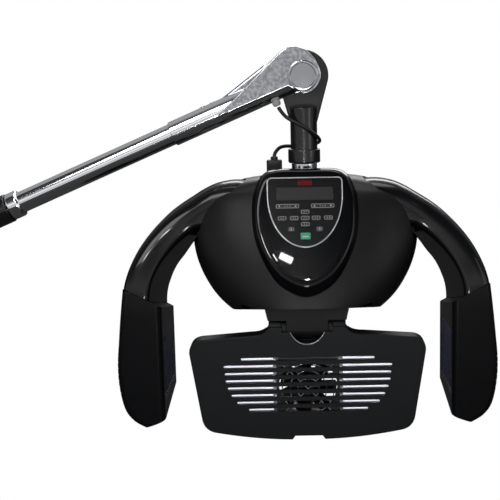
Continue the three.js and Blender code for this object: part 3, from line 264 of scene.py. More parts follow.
KEY_LAYOUT = {
    "key_timer_down": (-25.3, 8.9, *LONG_KEY),
    "key_timer_up": (25.3, 8.9, *LONG_KEY),
    "key_up": (0, CROSS_Z + CROSS_PITCH_Z, *SMALL_KEY),
    "key_centre": (0, CROSS_Z, *SMALL_KEY),
    "key_down": (0, CROSS_Z - CROSS_PITCH_Z, *SMALL_KEY),
    "key_left": (-CROSS_PITCH_X, CROSS_Z, *SMALL_KEY),
    "key_right": (CROSS_PITCH_X, CROSS_Z, *SMALL_KEY),
    "key_mode_left": (-33.2, CROSS_Z, *SMALL_KEY),
    "key_mode_right": (33.2, CROSS_Z, *SMALL_KEY),
    "key_lamp": (-20.2, -25.2, *ROUND_KEY),
    "key_fan": (20.2, -25.2, *ROUND_KEY),
    "key_start": (0, -35.4, 14, 9.6),
}
DISPLAY = (0, 27.8, 81, 19.2)
SENSOR = (0, 43.6, 20, 7.6)
PANE_SINK = 0.3
PANE_T = 2

# Lead, from the grommet round the post to the plug on the head
LEAD_R = 2.75
LEAD_STEPS = 6
BAR_SIDES = 16
PLUG_X = -45
PLUG_W = 23
PLUG_D = 18
PLUG_TOP = -124
PLUG_FOOT = -152
PLUG_CORNER = 4
PLUG_COLLAR_R = 5.5
PLUG_COLLAR_H = 5
LEAD_ROUTE = (
    (-36.7, GROMMET_Y, -45.5), (-34.5, -8.6, -50), (-25, -16.5, -60.5), (-10, -21.7, -69), (6, -22.8, -78),
    (17, -16.2, -87), (22.8, -5.5, -94), (22.2, 8, -99), (14, 20, -103), (0, 26.5, -105.5), (-15, 25, -106),
    (-27, 18, -105), (-36.5, 8, -106.5), (-43.5, 1.3, -114), (-44.8, 0.1, -120), (PLUG_X, 0, PLUG_TOP + GAP),
)
LEAD_POST_FROM = 3
LEAD_POST_TO = 10

# Centre panel
HINGE_Y = -80
HINGE_Z = -364
BARREL_R = 18
BARREL_ROOM = 4
TONGUE_R = 16.5
TONGUE_PLAY = 0.8
TONGUE_HALF = 30.4
LUG_FROM = 37
LUG_TO = 56
BRACKET_FOOT = -349
BRACKET_ROOM = 62.5
BRACKET_FRONT = HINGE_Y - 19
BRACKET_BACK = -45
PANEL_FRONT_Y = -100
PANEL_SPLIT_Y = -78
PANEL_RIM_Y = -70
PANEL_BACK_Y = -46
PANEL_EDGE = 8
PANEL_NECK = -358
PANEL_NECK_RISE = 5
PANEL_NECK_RUN = 26
PANEL_SHOULDER = -375
PANEL_HALF = 172
PANEL_CORNER = 21
PANEL_FOOT_HALF = 156.5
PANEL_SIDE_FOOT = -494
PANEL_FOOT = -528
PANEL_FOOT_BEND = (3, 19)
PANEL_FOOT_TURN = (21, 22)
PANEL_NOTCH_HALF = 20
PANEL_NOTCH = 5.5
RECESS_HALF = 25
RECESS_TOP = HINGE_Z - 2
RECESS_TIP = -384
RECESS_BEND = 9
# Radius of the bright bead round the recess, a painted highlight along the recess's edge
RECESS_HIGHLIGHT_BEAD = 0.6
SLOT_H = 5
SLOT_TOP = -405.4
SLOT_PITCH = 10.9
SLOT_HALVES = (97, 122.5, 121, 120, 117, 112, 104, 87)
# Painted glints on the panel's reflector, one glowing band behind each slot: drop below the slot's top, share of
# each pitch, glow
RIB_DROP = 3.4
RIB_SHARE = 0.2
PAINTED_RIB_GLOW = 0.8
HUMP_HALF = 139
HUMP_TOP = -389
HUMP_FOOT = -511
HUMP_CORNER = 7
HUMP_EDGE = 4
BACK_OPEN_HALF = 128
BACK_OPEN_TOP = -400
BACK_OPEN_FOOT = -501
BACK_BARS = 6
BACK_BAR = 3
FAN_Z = -452
GUARD_WIRE = 1.8
GUARD_RINGS = (16, 27, 38)
GUARD_SPOKE = 55

# Camera
CAMERA_PLACE = Vector((0, -1600, 0)) * MM
CAMERA_PITCH = math.radians(80.7)
CAMERA_ROLL = math.radians(-1.0)
CAMERA_SHIFT = -0.1117
CAMERA_ANGLE = math.radians(26.4)

# Floor and surroundings: brightness that bright metal and gloss mirror, by distance or by height
FLOOR_Z = PIVOT.z - 1.4
FLOOR_SIZE = 30
FLOOR_GREY = 0.8
FLOOR_ROUGHNESS = 0.9
FLOOR_FADE = 16
SOFT_LIGHT = 0.12
FLOOR_SEEN = ((0.0, 0.04), (0.3, 0.05), (0.42, 0.75), (1.0, 0.6))
SKY_BEFORE = (
    (0.0, 0.45), (0.05, 0.5), (0.1, 1.0), (0.24, 0.9), (0.36, 0.35),
    (0.5, 0.06), (0.8, 0.03), (0.92, 0.3), (1.0, 0.4),
)
SKY_BEHIND = ((0.0, 0.02), (0.22, 0.03), (0.4, 0.4), (0.7, 0.32), (1.0, 0.4))

# Studio lights: place from the pivot in metres, size and power
LIGHT_TARGET = Vector((0, 0, -0.25))
LIGHTS = (
    ("key", (-0.9, -1.5, 1.2), (0.9, 0.7), 14),
    ("fill", (1.5, -1.2, 0.3), (0.6, 1.2), 3),
    ("top", (0.1, 0.2, 1.6), (1.4, 0.9), 16),
    ("rear", (0.3, 1.7, 0.7), (1.6, 0.7), 14),
    ("flash", (0.0, -1.6, -0.4), (0.2, 0.12), 4),
)

# Small bright cards: the point that mirrors each one to the camera, the way to it, its size, power and turn
CARD_DISTANCE = 1.5
CARDS = (
    ("window_card", (-28, -106, -256), (-0.019, -0.826, 0.563), (0.038, 0.018), 0.25, -25),
    ("sliver_card", (-50, -106, -256), (-0.03, -0.827, 0.561), (0.007, 0.024), 0.05, 25),
    ("flash_card", (1, -119, -287), (0.001, -0.843, 0.538), (0.013, 0.013), 0.3, 0),
    ("arm_card", (-229, -55, -243), (-0.073, -0.854, 0.514), (0.1, 0.14), 2.5, 0),
)

HANGING = Matrix.Translation(PIVOT) @ Matrix.Scale(MM, 4)
ALONG_BOOM = Matrix.Rotation(-BOOM_TILT, 4, "Y") @ Matrix.Scale(MM, 4)
FASCIA = HANGING @ Matrix.Translation(FASCIA_PLACE) @ Matrix.Rotation(math.pi / 2 - FASCIA_LEAN, 4, "X")


# Materials

COAT_ROUGHNESS = 0.02
LEAST_ROUGHNESS = 0.02
CLOUD_SCALE = 22
CLOUD_DETAIL = 3
CLOUD_LOW = 0.88
CLOUD_HIGH = 1.12
FLECK_SCALE = 190
FLECK_DETAIL = 4
FLECK_EDGES = (0.38, 0.62)
GRAIN_DETAIL = 2
GRAIN_DEPTH = 0.0004


def noise(nodes, links, place, scale, detail):
    """A noise on the piece's own coordinates."""
    cloud = nodes.new("ShaderNodeTexNoise")
    cloud.inputs["Scale"].default_value = scale
    cloud.inputs["Detail"].default_value = detail
    links.new(place, cloud.inputs["Vector"])
    return cloud.outputs["Fac"]


def worked_out(nodes, links, operation, value, *numbers):
    """A socket's value after one sum with plain numbers."""
    step = nodes.new("ShaderNodeMath")
    step.operation = operation
    links.new(value, step.inputs[0])
    for i, number in enumerate(numbers):
        step.inputs[i + 1].default_value = number
    return step.outputs["Value"]


def node_material(name, base, roughness, metallic=0.0, coat=0.0, grain=0.0, grain_scale=400.0,
                  specular=0.5, glow=0.0, fleck_depth=0.0):
    """A surface of clouded roughness, with a fine grain or darker flecks where they are given, and a painted glow
    where one is given.
    """
    material = bpy.data.materials.new(name)
    material.use_nodes = True
    nodes, links = material.node_tree.nodes, material.node_tree.links
    surface = nodes["Principled BSDF"]
    settings = {
        "Base Color": (*base, 1),
        "Roughness": roughness,
        "Metallic": metallic,
        "Coat Weight": coat,
        "Coat Roughness": COAT_ROUGHNESS,
        "Specular IOR Level": specular,
        "Emission Color": (*base, 1),
        "Emission Strength": glow,
    }
    for socket, value in settings.items():
        surface.inputs[socket].default_value = value
    place = nodes.new("ShaderNodeTexCoord").outputs["Object"]
    spread = nodes.new("ShaderNodeMapRange")
    spread.inputs["To Min"].default_value = max(LEAST_ROUGHNESS, roughness * CLOUD_LOW)
    spread.inputs["To Max"].default_value = roughness * CLOUD_HIGH
    links.new(noise(nodes, links, place, CLOUD_SCALE, CLOUD_DETAIL), spread.inputs["Value"])
    links.new(spread.outputs["Result"], surface.inputs["Roughness"])
    if fleck_depth:
        shade = nodes.new("ShaderNodeValToRGB")
        dark, light = shade.color_ramp.elements
        dark.position, light.position = FLECK_EDGES
        dark.color = (*(c * (1 - fleck_depth) for c in base), 1)
        light.color = (*base, 1)
        links.new(noise(nodes, links, place, FLECK_SCALE, FLECK_DETAIL), shade.inputs["Fac"])
        links.new(shade.outputs["Color"], surface.inputs["Base Color"])
    if grain:
        bump = nodes.new("ShaderNodeBump")
        bump.inputs["Strength"].default_value = grain
        bump.inputs["Distance"].default_value = GRAIN_DEPTH
        links.new(noise(nodes, links, place, grain_scale, GRAIN_DETAIL), bump.inputs["Height"])
        links.new(bump.outputs["Normal"], surface.inputs["Normal"])
    return material


SHELL = node_material("dome plastic", (0.006, 0.0062, 0.006), 0.42, grain=0.1, grain_scale=900, specular=0.2)
ARM = node_material("arm plastic", (0.003, 0.0032, 0.004), 0.3, coat=0.35, specular=0.12)
PANEL = node_material(
    "panel plastic", (0.004, 0.0047, 0.0058), 0.5, grain=0.12, grain_scale=900, specular=0.2,
)
HINGE = node_material("hinge plastic", (0.004, 0.004, 0.0045), 0.5, specular=0.2)
GLOSS = node_material("gloss shield", (0.002, 0.0022, 0.003), 0.2, coat=0.4, specular=0.06)
FACE = node_material("fascia", (0.003, 0.003, 0.0036), 0.3, specular=0.15)
PAINT = node_material("satin paint", (0.008, 0.008, 0.0085), 0.22, coat=0.3, specular=0.4)
CHEEK = node_material("tang paint", (0.007, 0.007, 0.0085), 0.36, grain=0.2, grain_scale=500, specular=0.3)
CHROME = node_material("chrome", (0.86, 0.87, 0.9), 0.11, metallic=1.0)
CAST = node_material(
    "cast chrome", (0.6, 0.62, 0.65), 0.14, metallic=1.0, grain=0.3, grain_scale=230, fleck_depth=0.36,
)
CAP_FACE = node_material("cap face", (0.42, 0.43, 0.45), 0.16, metallic=1.0, grain=0.15, grain_scale=400)
STEEL = node_material("plated steel", (0.42, 0.43, 0.45), 0.34, metallic=1.0)
# The panel's reflector, which also glows in bands behind the slots: painted reflections of light
SHEET = node_material("polished sheet", (0.86, 0.88, 0.95), 0.3, metallic=1.0)
# The pods' reflectors glow faintly bluish: painted light, for they are no lamps
PAINTED_GLOW_SHEET = node_material("dark sheet with painted glow", (0.06, 0.065, 0.1), 0.12, metallic=1.0, glow=0.5)
GUARD = node_material("guard paint", (0.02, 0.022, 0.04), 0.25, specular=0.5)
WIRE = node_material("guard wire", (0.3, 0.3, 0.33), 0.15, metallic=1.0)
QUARTZ = node_material("quartz", (0.55, 0.4, 0.32), 0.08, coat=0.6)
PALE = node_material("pale rubber", (0.36, 0.36, 0.35), 0.55)
RUBBER = node_material("black rubber", (0.008, 0.008, 0.008), 0.42, grain=0.1, specular=0.35)
GLASS = node_material("display", (0.028, 0.028, 0.029), 0.4, specular=0.15)
RED = node_material("sensor", (0.12, 0.005, 0.007), 0.2, specular=0.3)
KEYS = node_material("key rubber", (0.012, 0.012, 0.013), 0.45, specular=0.3)
MARK = node_material("printed mark", (0.5, 0.5, 0.5), 0.5)
GREEN = node_material("green key", (0.02, 0.33, 0.17), 0.4)
BOARD = node_material("board", (0.02, 0.12, 0.05), 0.5)
TRIM = node_material("trim", (0.55, 0.55, 0.56), 0.3, metallic=1.0)


def painted_rib_glints(material, top, pitch, share, strength):
    """Paints glowing bands on a sheet along level ribs, one for each slot in front of it: painted highlights that
    stand in for light coming through the slots.
    """
    nodes, links = material.node_tree.nodes, material.node_tree.links
    place = nodes.new("ShaderNodeTexCoord")
    parts = nodes.new("ShaderNodeSeparateXYZ")
    links.new(place.outputs["Object"], parts.inputs["Vector"])
    steps = worked_out(nodes, links, "MULTIPLY_ADD", parts.outputs["Z"], 1 / pitch, -top / pitch)
    rib = worked_out(nodes, links, "FRACT", steps)
    lit = worked_out(nodes, links, "LESS_THAN", rib, share)
    glow = worked_out(nodes, links, "MULTIPLY", lit, strength)
    links.new(glow, nodes["Principled BSDF"].inputs["Emission Strength"])


# Paints glowing bands on the panel's reflector, one behind each slot, as painted highlights
painted_rib_glints(SHEET, PIVOT.z + (SLOT_TOP - RIB_DROP) * MM, SLOT_PITCH * MM, RIB_SHARE, PAINTED_RIB_GLOW)


# Mesh building

def between(a, b, c, d, w):
    """The place at a share of the way from b to c on a smooth curve that also passes a and d."""
    into, out = (c - a) / 2, (d - b) / 2
    cubed = 2 * b - 2 * c + into + out
    squared = 3 * c - 3 * b - 2 * into - out
    return cubed * w**3 + squared * w**2 + into * w + b


def along(stations, column, share):
    """A smooth value from a list of stations, by share of the way through the list."""
    values = [row[column] for row in stations]
    last = len(values) - 1
    at = share * last
    i = min(int(at), last - 1)
    return between(values[max(0, i - 1)], values[i], values[i + 1], values[min(last, i + 2)], at - i)


def smooth_closed(points, steps):
    """A closed curve through the points."""
    count = len(points)
    curve = []
    for i in range(count):
        near = [Vector(points[(i + k) % count]) for k in (-1, 0, 1, 2)]
        curve += [between(*near, k / steps) for k in range(steps)]
    return curve


def smoothstep(value, low, high):
    """A share from 0 to 1 that starts and ends gently."""
    t = min(1, max(0, (value - low) / (high - low)))
    return t * t * (3 - 2 * t)


def lerp(a, b, t):
    return a + (b - a) * t


def closed_loop(bm, points):
    """A ring of edges through the points."""
    verts = [bm.verts.new(p) for p in points]
    return [bm.edges.new(pair) for pair in zip(verts, verts[1:] + verts[:1])]


def lofted(rings):
    """A closed skin through rings of points."""
    bm = bmesh.new()
    loops = [closed_loop(bm, ring) for ring in rings]
    for low, high in zip(loops, loops[1:]):
        bmesh.ops.bridge_loops(bm, edges=low + high)
    for loop in (loops[0], loops[-1]):
        bmesh.ops.edgeloop_fill(bm, edges=loop)
    bmesh.ops.recalc_face_normals(bm, faces=bm.faces)
    return bm


def pulled(points, way):
    """A flat outline pulled out into a solid."""
    bm = bmesh.new()
    face = bm.faces.new([bm.verts.new(p) for p in points])
    moved = bmesh.ops.extrude_face_region(bm, geom=[face])["geom"]
    bmesh.ops.translate(bm, verts=[v for v in moved if isinstance(v, bmesh.types.BMVert)], vec=way)
    bmesh.ops.recalc_face_normals(bm, faces=bm.faces)
    return bm


def turned(profile, axis, at=(0, 0, 0), sides=ROUND):
    """A profile of (radius, place along the axis) turned about an axis through a point."""
    bm = bmesh.new()
    verts = [bm.verts.new((r, 0, a)) for r, a in profile]
    edges = [bm.edges.new(pair) for pair in zip(verts, verts[1:])]
    if profile[0][0] > 0:
        edges.append(bm.edges.new((verts[-1], verts[0])))
    bmesh.ops.spin(
        bm, geom=verts + edges, cent=(0, 0, 0), axis=(0, 0, 1),
        angle=2 * math.pi, steps=sides, use_merge=True,
    )
    bmesh.ops.remove_doubles(bm, verts=bm.verts, dist=1e-4)
    bmesh.ops.recalc_face_normals(bm, faces=bm.faces)
    turns = {
        "x": Matrix.Rotation(math.pi / 2, 4, "Y"),
        "y": Matrix.Rotation(-math.pi / 2, 4, "X"),
        "z": Matrix(),
    }
    bm.transform(Matrix.Translation(at) @ turns[axis])
    return bm


def plain_rod(radius, low, high):
    """The profile of a solid rod with square ends."""
    return [(0, low), (radius, low), (radius, high), (0, high)]


def rounded_rod(radius, low, high, edge, steps=4):
    """The profile of a solid rod with rounded ends."""
    profile = [(0, low)]
    for end, sign in ((low, 1), (high, -1)):
        corner = []
        for k in range(steps + 1):
            a = k / steps * math.pi / 2
            corner.append((radius - edge + edge * math.sin(a), end + sign * edge * (1 - math.cos(a))))
        profile += corner[::sign]
    return profile + [(0, high)]


def rounded_tube(outer, inner, low, high, edge):
    """The profile of a sleeve with rounded outer edges."""
    return [(inner, low)] + rounded_rod(outer, low, high, edge)[1:-1] + [(inner, high)]


def slab(points, y0, y1):
    """An outline of (x, z) points given depth along Y."""
    return pulled([(x, y0, z) for x, z in points], (0, y1 - y0, 0))


def block(x0, x1, y0, y1, z0, z1):
    """A square-cornered solid between two places on each axis."""
    return slab(((x0, z0), (x1, z0), (x1, z1), (x0, z1)), y0, y1)


def plate(points, low, high):
    """An outline of (x, y) points given height along Z."""
    return pulled([(x, y, low) for x, y in points], (0, 0, high - low))


def arc(cx, cy, rx, ry, start, end, steps):
    """Points on an ellipse from one angle to another, in degrees."""
    angles = [math.radians(start + (end - start) * k / steps) for k in range(steps + 1)]
    return [(cx + rx * math.cos(a), cy + ry * math.sin(a)) for a in angles]


def bend(a, b, c, steps=10):
    """Points on a quadratic curve, without its first point."""
    curve = []
    for k in range(1, steps + 1):
        t = k / steps
        curve.append(tuple(lerp(lerp(a[i], b[i], t), lerp(b[i], c[i], t), t) for i in (0, 1)))
    return curve


def both_sides(half):
    """A closed outline from its right half, which runs from the top centre to the bottom centre."""
    return list(half) + [(-x, z) for x, z in reversed(half) if x > 1e-6]


def round_rect(x, y, w, h, corner, steps=5):
    """The outline of a rectangle with rounded corners, from its centre and size."""
    r = min(corner, w / 2 - 0.01, h / 2 - 0.01)
    points = []
    for sx, sy, start in ((1, -1, -90), (1, 1, 0), (-1, 1, 90), (-1, -1, 180)):
        points += arc(x + sx * (w / 2 - r), y + sy * (h / 2 - r), r, r, start, start + 90, steps)
    return points


def merged(*parts):
    """Several meshes as one."""
    whole = bmesh.new()
    for part in parts:
        mesh = bpy.data.meshes.new("part")
        part.to_mesh(mesh)
        part.free()
        whole.from_mesh(mesh)
        bpy.data.meshes.remove(mesh)
    return whole


def rounded(bm, width, segments=3, angle=35):
    """Rounds every edge that turns by more than an angle."""
    limit = math.radians(angle)
    edges = [e for e in bm.edges if len(e.link_faces) == 2 and e.calc_face_angle(0) > limit]
    bmesh.ops.bevel(bm, geom=edges, offset=width, affect="EDGES", segments=segments, profile=0.5,
                    material=-1, clamp_overlap=True)
    return bm


def below(bm, point, normal):
    """Keeps what lies behind a plane and closes the cut."""
    geom = bm.verts[:] + bm.edges[:] + bm.faces[:]
    cut = bmesh.ops.bisect_plane(
        bm, geom=geom, dist=1e-5, plane_co=point, plane_no=normal, clear_outer=True,
    )
    edges = [e for e in cut["geom_cut"] if isinstance(e, bmesh.types.BMEdge)]
    bmesh.ops.holes_fill(bm, edges=edges, sides=0)
    bmesh.ops.recalc_face_normals(bm, faces=bm.faces)
    return bm


def temporary(bm):
    """An object that lasts only while a cut is made."""
    mesh = bpy.data.meshes.new("temporary")
    bm.to_mesh(mesh)
    bm.free()
    obj = bpy.data.objects.new("temporary", mesh)
    bpy.context.scene.collection.objects.link(obj)
    return obj


def carved(bm, *cutters, operation="DIFFERENCE"):
    """A mesh with other meshes cut out of it."""
    body = temporary(bm)
    helpers = [temporary(cutter) for cutter in cutters]
    for helper in helpers:
        step = body.modifiers.new("cut", "BOOLEAN")
        step.operation = operation
        step.solver = "EXACT"
        step.object = helper
    result = bmesh.new()
    bpy.context.view_layer.update()
    result.from_object(body, bpy.context.evaluated_depsgraph_get())
    for obj in (body, *helpers):
        mesh = obj.data
        bpy.data.objects.remove(obj)
        bpy.data.meshes.remove(mesh)
    return result


def weigh_normals(mesh, angle):
    """Shades each corner by the faces that meet there within an angle, large ones first."""
    limit = math.cos(angle)
    facing = [p.normal.copy() for p in mesh.polygons]
    weight = [p.area for p in mesh.polygons]
    around = [[] for _ in mesh.vertices]
    for p in mesh.polygons:
        for v in p.vertices:
            around[v].append(p.index)
    corners = []
    for p in mesh.polygons:
        own = facing[p.index]
        for v in p.vertices:
            total = Vector()
            for i in around[v]:
                if facing[i].dot(own) > limit:
                    total += facing[i] * weight[i]
            corners.append(total.normalized())
    mesh.normals_split_custom_set(corners)


BODY_OF = {
    node: body
    for body, nodes in frame["record"]["behaviour"]["bodies"].items()
    for node in nodes
}


def placed(name, bm, material, frame_matrix):
    """Makes a mesh given in one frame of the object a smooth piece of the scene."""
    bm.transform(frame_matrix)
    mesh = bpy.data.meshes.new(name)
    bm.to_mesh(mesh)
    bm.free()
    mesh.shade_smooth()
    mesh.materials.append(material)
    obj = bpy.data.objects.new(name, mesh)
    bpy.context.scene.collection.objects.link(obj)
    return obj


def finished(name, bm, material, nodes, frame_matrix=HANGING, angle=32, body=None):
    """Places a piece, shades its edges, and lets it stand for its CAD nodes and move with their body."""
    obj = placed(name, bm, material, frame_matrix)
    weigh_normals(obj.data, math.radians(angle))
    if nodes:
        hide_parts(*nodes)
    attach(obj, body or BODY_OF[nodes[0]])
    return obj


def dressed(node, material, edge=0.0, angle=32):
    """A copy of a CAD node's own mesh with its corners merged and its edges rounded."""
    bm = bmesh.new()
    bm.from_mesh(frame["nodes"][node].data)
    bm.transform(frame["nodes"][node].matrix_world)
    bmesh.ops.remove_doubles(bm, verts=bm.verts, dist=2e-6)
    bmesh.ops.dissolve_limit(bm, angle_limit=math.radians(0.5), verts=bm.verts, edges=bm.edges)
    if edge:
        rounded(bm, edge * MM, 2)
    return finished(f"{node}_piece", bm, material, (node,), Matrix(), angle)


# Boom

def build_boom():
    tube_from = PLUG_FLANGE + GAP
    tube_to = BOOM_LENGTH - SOCKET_LENGTH + TUBE_IN_SOCKET
    bore = TUBE_R - TUBE_WALL
    bm = turned([(bore, tube_from), (TUBE_R, tube_from), (TUBE_R, tube_to), (bore, tube_to)], "x")
    finished("boom_tube", bm, CHROME, ("boom_tube",), ALONG_BOOM)
    bm = turned(rounded_tube(SLEEVE_R, TUBE_R + GAP, tube_from, SLEEVE_END, edge=1.5), "x")
    finished("boom_sleeve", bm, PAINT, ("root_sleeve",), ALONG_BOOM)
    start = SLEEVE_END + GAP
    bm = turned(rounded_tube(COLLAR_R, TUBE_R + GAP, start, start + COLLAR_LENGTH, edge=3.5), "x")
    finished("boom_collar", bm, CHROME, ("sleeve_collar",), ALONG_BOOM)
    dressed("root_plug", STEEL, edge=0.3)
    build_knuckle()
    build_pivot_cap()
    build_grommet()
    for number in (1, 2):
        dressed(f"knuckle_screw_{number}", STEEL, edge=0.15)
    dressed("pivot_bolt", STEEL, edge=0.3)


def build_pivot_cap():
    seat = -LAP_DEPTH - LAP_GAP - GAP
    side = [(CAP_R - inset, seat - out) for inset, out in CAP_SIDE]
    bm = turned([(0, seat), *side, (0, seat - CAP_DISH)], "y", (BOOM_LENGTH, 0, 0))
    finished("pivot_cap", bm, CAP_FACE, ("pivot_cap",), ALONG_BOOM)


def build_grommet():
    foot = -SOCKET_R - GAP - GROMMET_H
    side = [(GROMMET_R - inset, foot + up) for inset, up in GROMMET_SIDE]
    profile = [(0, foot), (LEAD_R, foot), *side, (0, side[-1][1])]
    bm = turned(profile, "z", (BOOM_LENGTH - GROMMET_PLACE, GROMMET_Y, 0), sides=32)
    finished("lead_grommet", bm, PALE, ("cable_grommet",), ALONG_BOOM)


def knuckle_side(toe, heel):
    """The casting's side outline from its end towards the root, over the pivot, to its lower corner."""
    points = [*toe, CROWN_START]
    points += bend(CROWN_START, CROWN_PEAK, CROWN_END)
    points += bend(CROWN_END, NOSE_BEND, NOSE_TIP)
    points += arc(0, 0, EAR_R, EAR_R, EAR_FROM, EAR_TO, 16)
    return [(BOOM_LENGTH + x, z) for x, z in (*points, heel)]


def lap_room():
    """The round space that the post's tang turns in."""
    return turned(plain_rod(LAP_ROOM_R, -LAP_GAP, BIG), "y", (BOOM_LENGTH, 0, 0))


def build_knuckle():
    cheek = slab(knuckle_side([CHEEK_TOE], CHEEK_HEEL), -LAP_DEPTH - LAP_GAP, -LAP_GAP)
    toe = [(-FAIRING_LENGTH, 1 - SOCKET_R), (-FAIRING_LENGTH, SOCKET_R - 1)]
    fairing = slab(knuckle_side(toe, FAIRING_HEEL), -LAP_GAP - 1, LAP_DEPTH)
    front = rounded(cheek, 2.2, segments=4, angle=50)
    rear = carved(rounded(fairing, 4.5, segments=5, angle=50), lap_room())
    socket_from, socket_to = BOOM_LENGTH - SOCKET_LENGTH, BOOM_LENGTH - SOCKET_STOP
    socket = turned(rounded_rod(SOCKET_R, socket_from, socket_to, edge=1.5), "x")
    finished("boom_socket", carved(socket, lap_room()), CHROME, None, ALONG_BOOM, body="boom")
    finished("boom_casting", merged(front, rear), CAST, ("boom_knuckle",), ALONG_BOOM)


# Post and swivel

def build_post():
    side = arc(0, 0, TANG_R, TANG_R, TANG_FROM, TANG_TO, 48)
    side += [(-POST_R, TANG_FOOT), (POST_R, TANG_FOOT)]
    tang = rounded(slab(side, LAP_GAP, LAP_DEPTH + LAP_GAP), 2.5, segments=4, angle=40)
    finished("post_tang", tang, CHEEK, None, body="post")
    stem = turned(rounded_rod(POST_R, POST_END, POST_TOP, edge=2), "z")
    finished("post", stem, PAINT, ("post_tube",))
    bm = turned(rounded_tube(POST_COLLAR_R, POST_R + GAP, POST_END, POST_COLLAR_TOP, edge=2.5), "z")
    finished("post_collar", bm, PAINT, ("post_collar",))
    dressed("pivot_washer", STEEL)
    top = POST_END - GAP
    foot = top - FLANGE_H
    flange = turned(rounded_rod(FLANGE_R, foot, top, edge=1), "z")
    spindle = turned(plain_rod(SPINDLE_R, foot - SPINDLE_LENGTH, foot), "z")
    finished("swivel_spindle", merged(flange, spindle), CHROME, ("swivel_spindle",))
    high = foot - GAP
    bm = turned(rounded_tube(WASHER_R, SPINDLE_R + GAP, high - WASHER_H, high, edge=1.2), "z")
    finished("swivel_washer", bm, CHROME, ("swivel_washer",))


def round_bar(points, radius):
    """A round bar along a curve of points."""
    rings = []
    side = Vector((1, 0, 0))
    for i, p in enumerate(points):
        way = (points[min(i + 1, len(points) - 1)] - points[max(i - 1, 0)]).normalized()
        side = (side - way * side.dot(way)).normalized()
        up = way.cross(side)
        turn = [k * 2 * math.pi / BAR_SIDES for k in range(BAR_SIDES)]
        rings.append([p + (side * math.cos(a) + up * math.sin(a)) * radius for a in turn])
    return lofted(rings)


def open_curve(points, steps):
    """A smooth open curve through the points, as a list for each stretch between two of them."""
    ends = [Vector(p) for p in (points[0], *points, points[-1])]
    shares = [k / steps for k in range(steps + 1)]
    return [[between(*ends[i:i + 4], w) for w in shares] for i in range(len(points) - 1)]


def build_lead():
    stretches = open_curve(LEAD_ROUTE, LEAD_STEPS)
    parts = {
        "lead_at_the_boom": (0, LEAD_POST_FROM),
        "lead_round_the_post": (LEAD_POST_FROM, LEAD_POST_TO),
        "lead_at_the_head": (LEAD_POST_TO, len(stretches)),
    }
    made = {}
    for name, (first, last) in parts.items():
        points = [p for row in stretches[first:last] for p in row[:-1]] + [stretches[last - 1][-1]]
        made[name] = placed(name, round_bar(points, LEAD_R), RUBBER, HANGING)
        made[name].data.set_sharp_from_angle(angle=math.radians(40))
    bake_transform(made["lead_at_the_boom"])
    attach(made["lead_round_the_post"], "post")
    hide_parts("lead")
    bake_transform(made["lead_at_the_head"])
    outline = round_rect(PLUG_X, 0, PLUG_W, PLUG_D, PLUG_CORNER)
    bm = rounded(plate(outline, PLUG_FOOT, PLUG_TOP), 1.6, segments=3, angle=50)
    sleeve = rounded_tube(PLUG_COLLAR_R, LEAD_R + 0.1, PLUG_TOP - 0.5, PLUG_TOP + PLUG_COLLAR_H, edge=1.5)
    collar = turned(sleeve, "z", (PLUG_X, 0, 0), sides=32)
    finished("lead_plug", merged(bm, collar), RUBBER, ("lead_plug",))


# Dome

def dome(depth):
    """The dome's outer form moved inwards by a distance."""
    rings = []
    step = 0.5 / DOME_LEVELS
    for i in range(DOME_LEVELS + 1):
        share = i / DOME_LEVELS
        z, half, front, rear = (along(DOME_STATIONS, k, share) for k in range(4))
        low, high = min(1, share + step), max(0, share - step)
        rise = along(DOME_STATIONS, 0, high) - along(DOME_STATIONS, 0, low)
        run = along(DOME_STATIONS, 1, low) - along(DOME_STATIONS, 1, high)
        tilt = math.atan2(run, rise)
        inwards = depth * math.cos(tilt)
        ring = []
        for k in range(DOME_SIDES):
            a = (k + 0.5) * 2 * math.pi / DOME_SIDES
            c, s = math.cos(a), math.sin(a)
            reach = front if s < 0 else rear
            x = (half - inwards) * math.copysign(abs(c) ** (2 / DOME_POWER), c)
            y = (reach - inwards) * math.copysign(abs(s) ** (2 / DOME_POWER), s)
            ring.append((x, y, z - depth * math.sin(tilt)))
        rings.append(ring)
    return lofted(rings)


def under_foot(lift=0):
    """Everything below the dome's foot, which rises towards the front."""
    foot = DOME_FOOT + lift
    front = foot + DOME_FOOT_RISE * BIG
    side = ((-BIG, front), (0, foot), (BIG, foot), (BIG, -BIG), (-BIG, -BIG))
    return pulled([(-BIG, y, z) for y, z in side], (2 * BIG, 0, 0))


def dome_skin():
    """The dome's wall with its openings for the arms, the neck, the shield and the plug."""
    skin = carved(dome(0), dome(WALL), under_foot())
    window = [WINDOW_TIP, WINDOW_SHOULDER, (BIG, WINDOW_SHOULDER[1])]
    window += [(x, -y) for x, y in reversed(window)]
    windows = [plate([(s * x, y) for x, y in window[::-s]], WINDOW_FOOT, BIG) for s in (-1, 1)]
    neck = turned(plain_rod(NECK_HOLE_R, -BIG, BIG), "z")
    shield = shield_form(GAP)
    shield.transform(HANGING.inverted() @ FASCIA)
    plug_hole = round_rect(PLUG_X, 0, PLUG_W + 2 * GAP, PLUG_D + 2 * GAP, PLUG_CORNER)
    plug = plate(plug_hole, PLUG_FOOT - 1, BIG)
    notches = [slab([(s * x, z) for x, z in TIP_NOTCH], -BIG, TIP_NOTCH_BACK) for s in (-1, 1)]
    return carved(skin, *windows, neck, shield, plug, *notches)


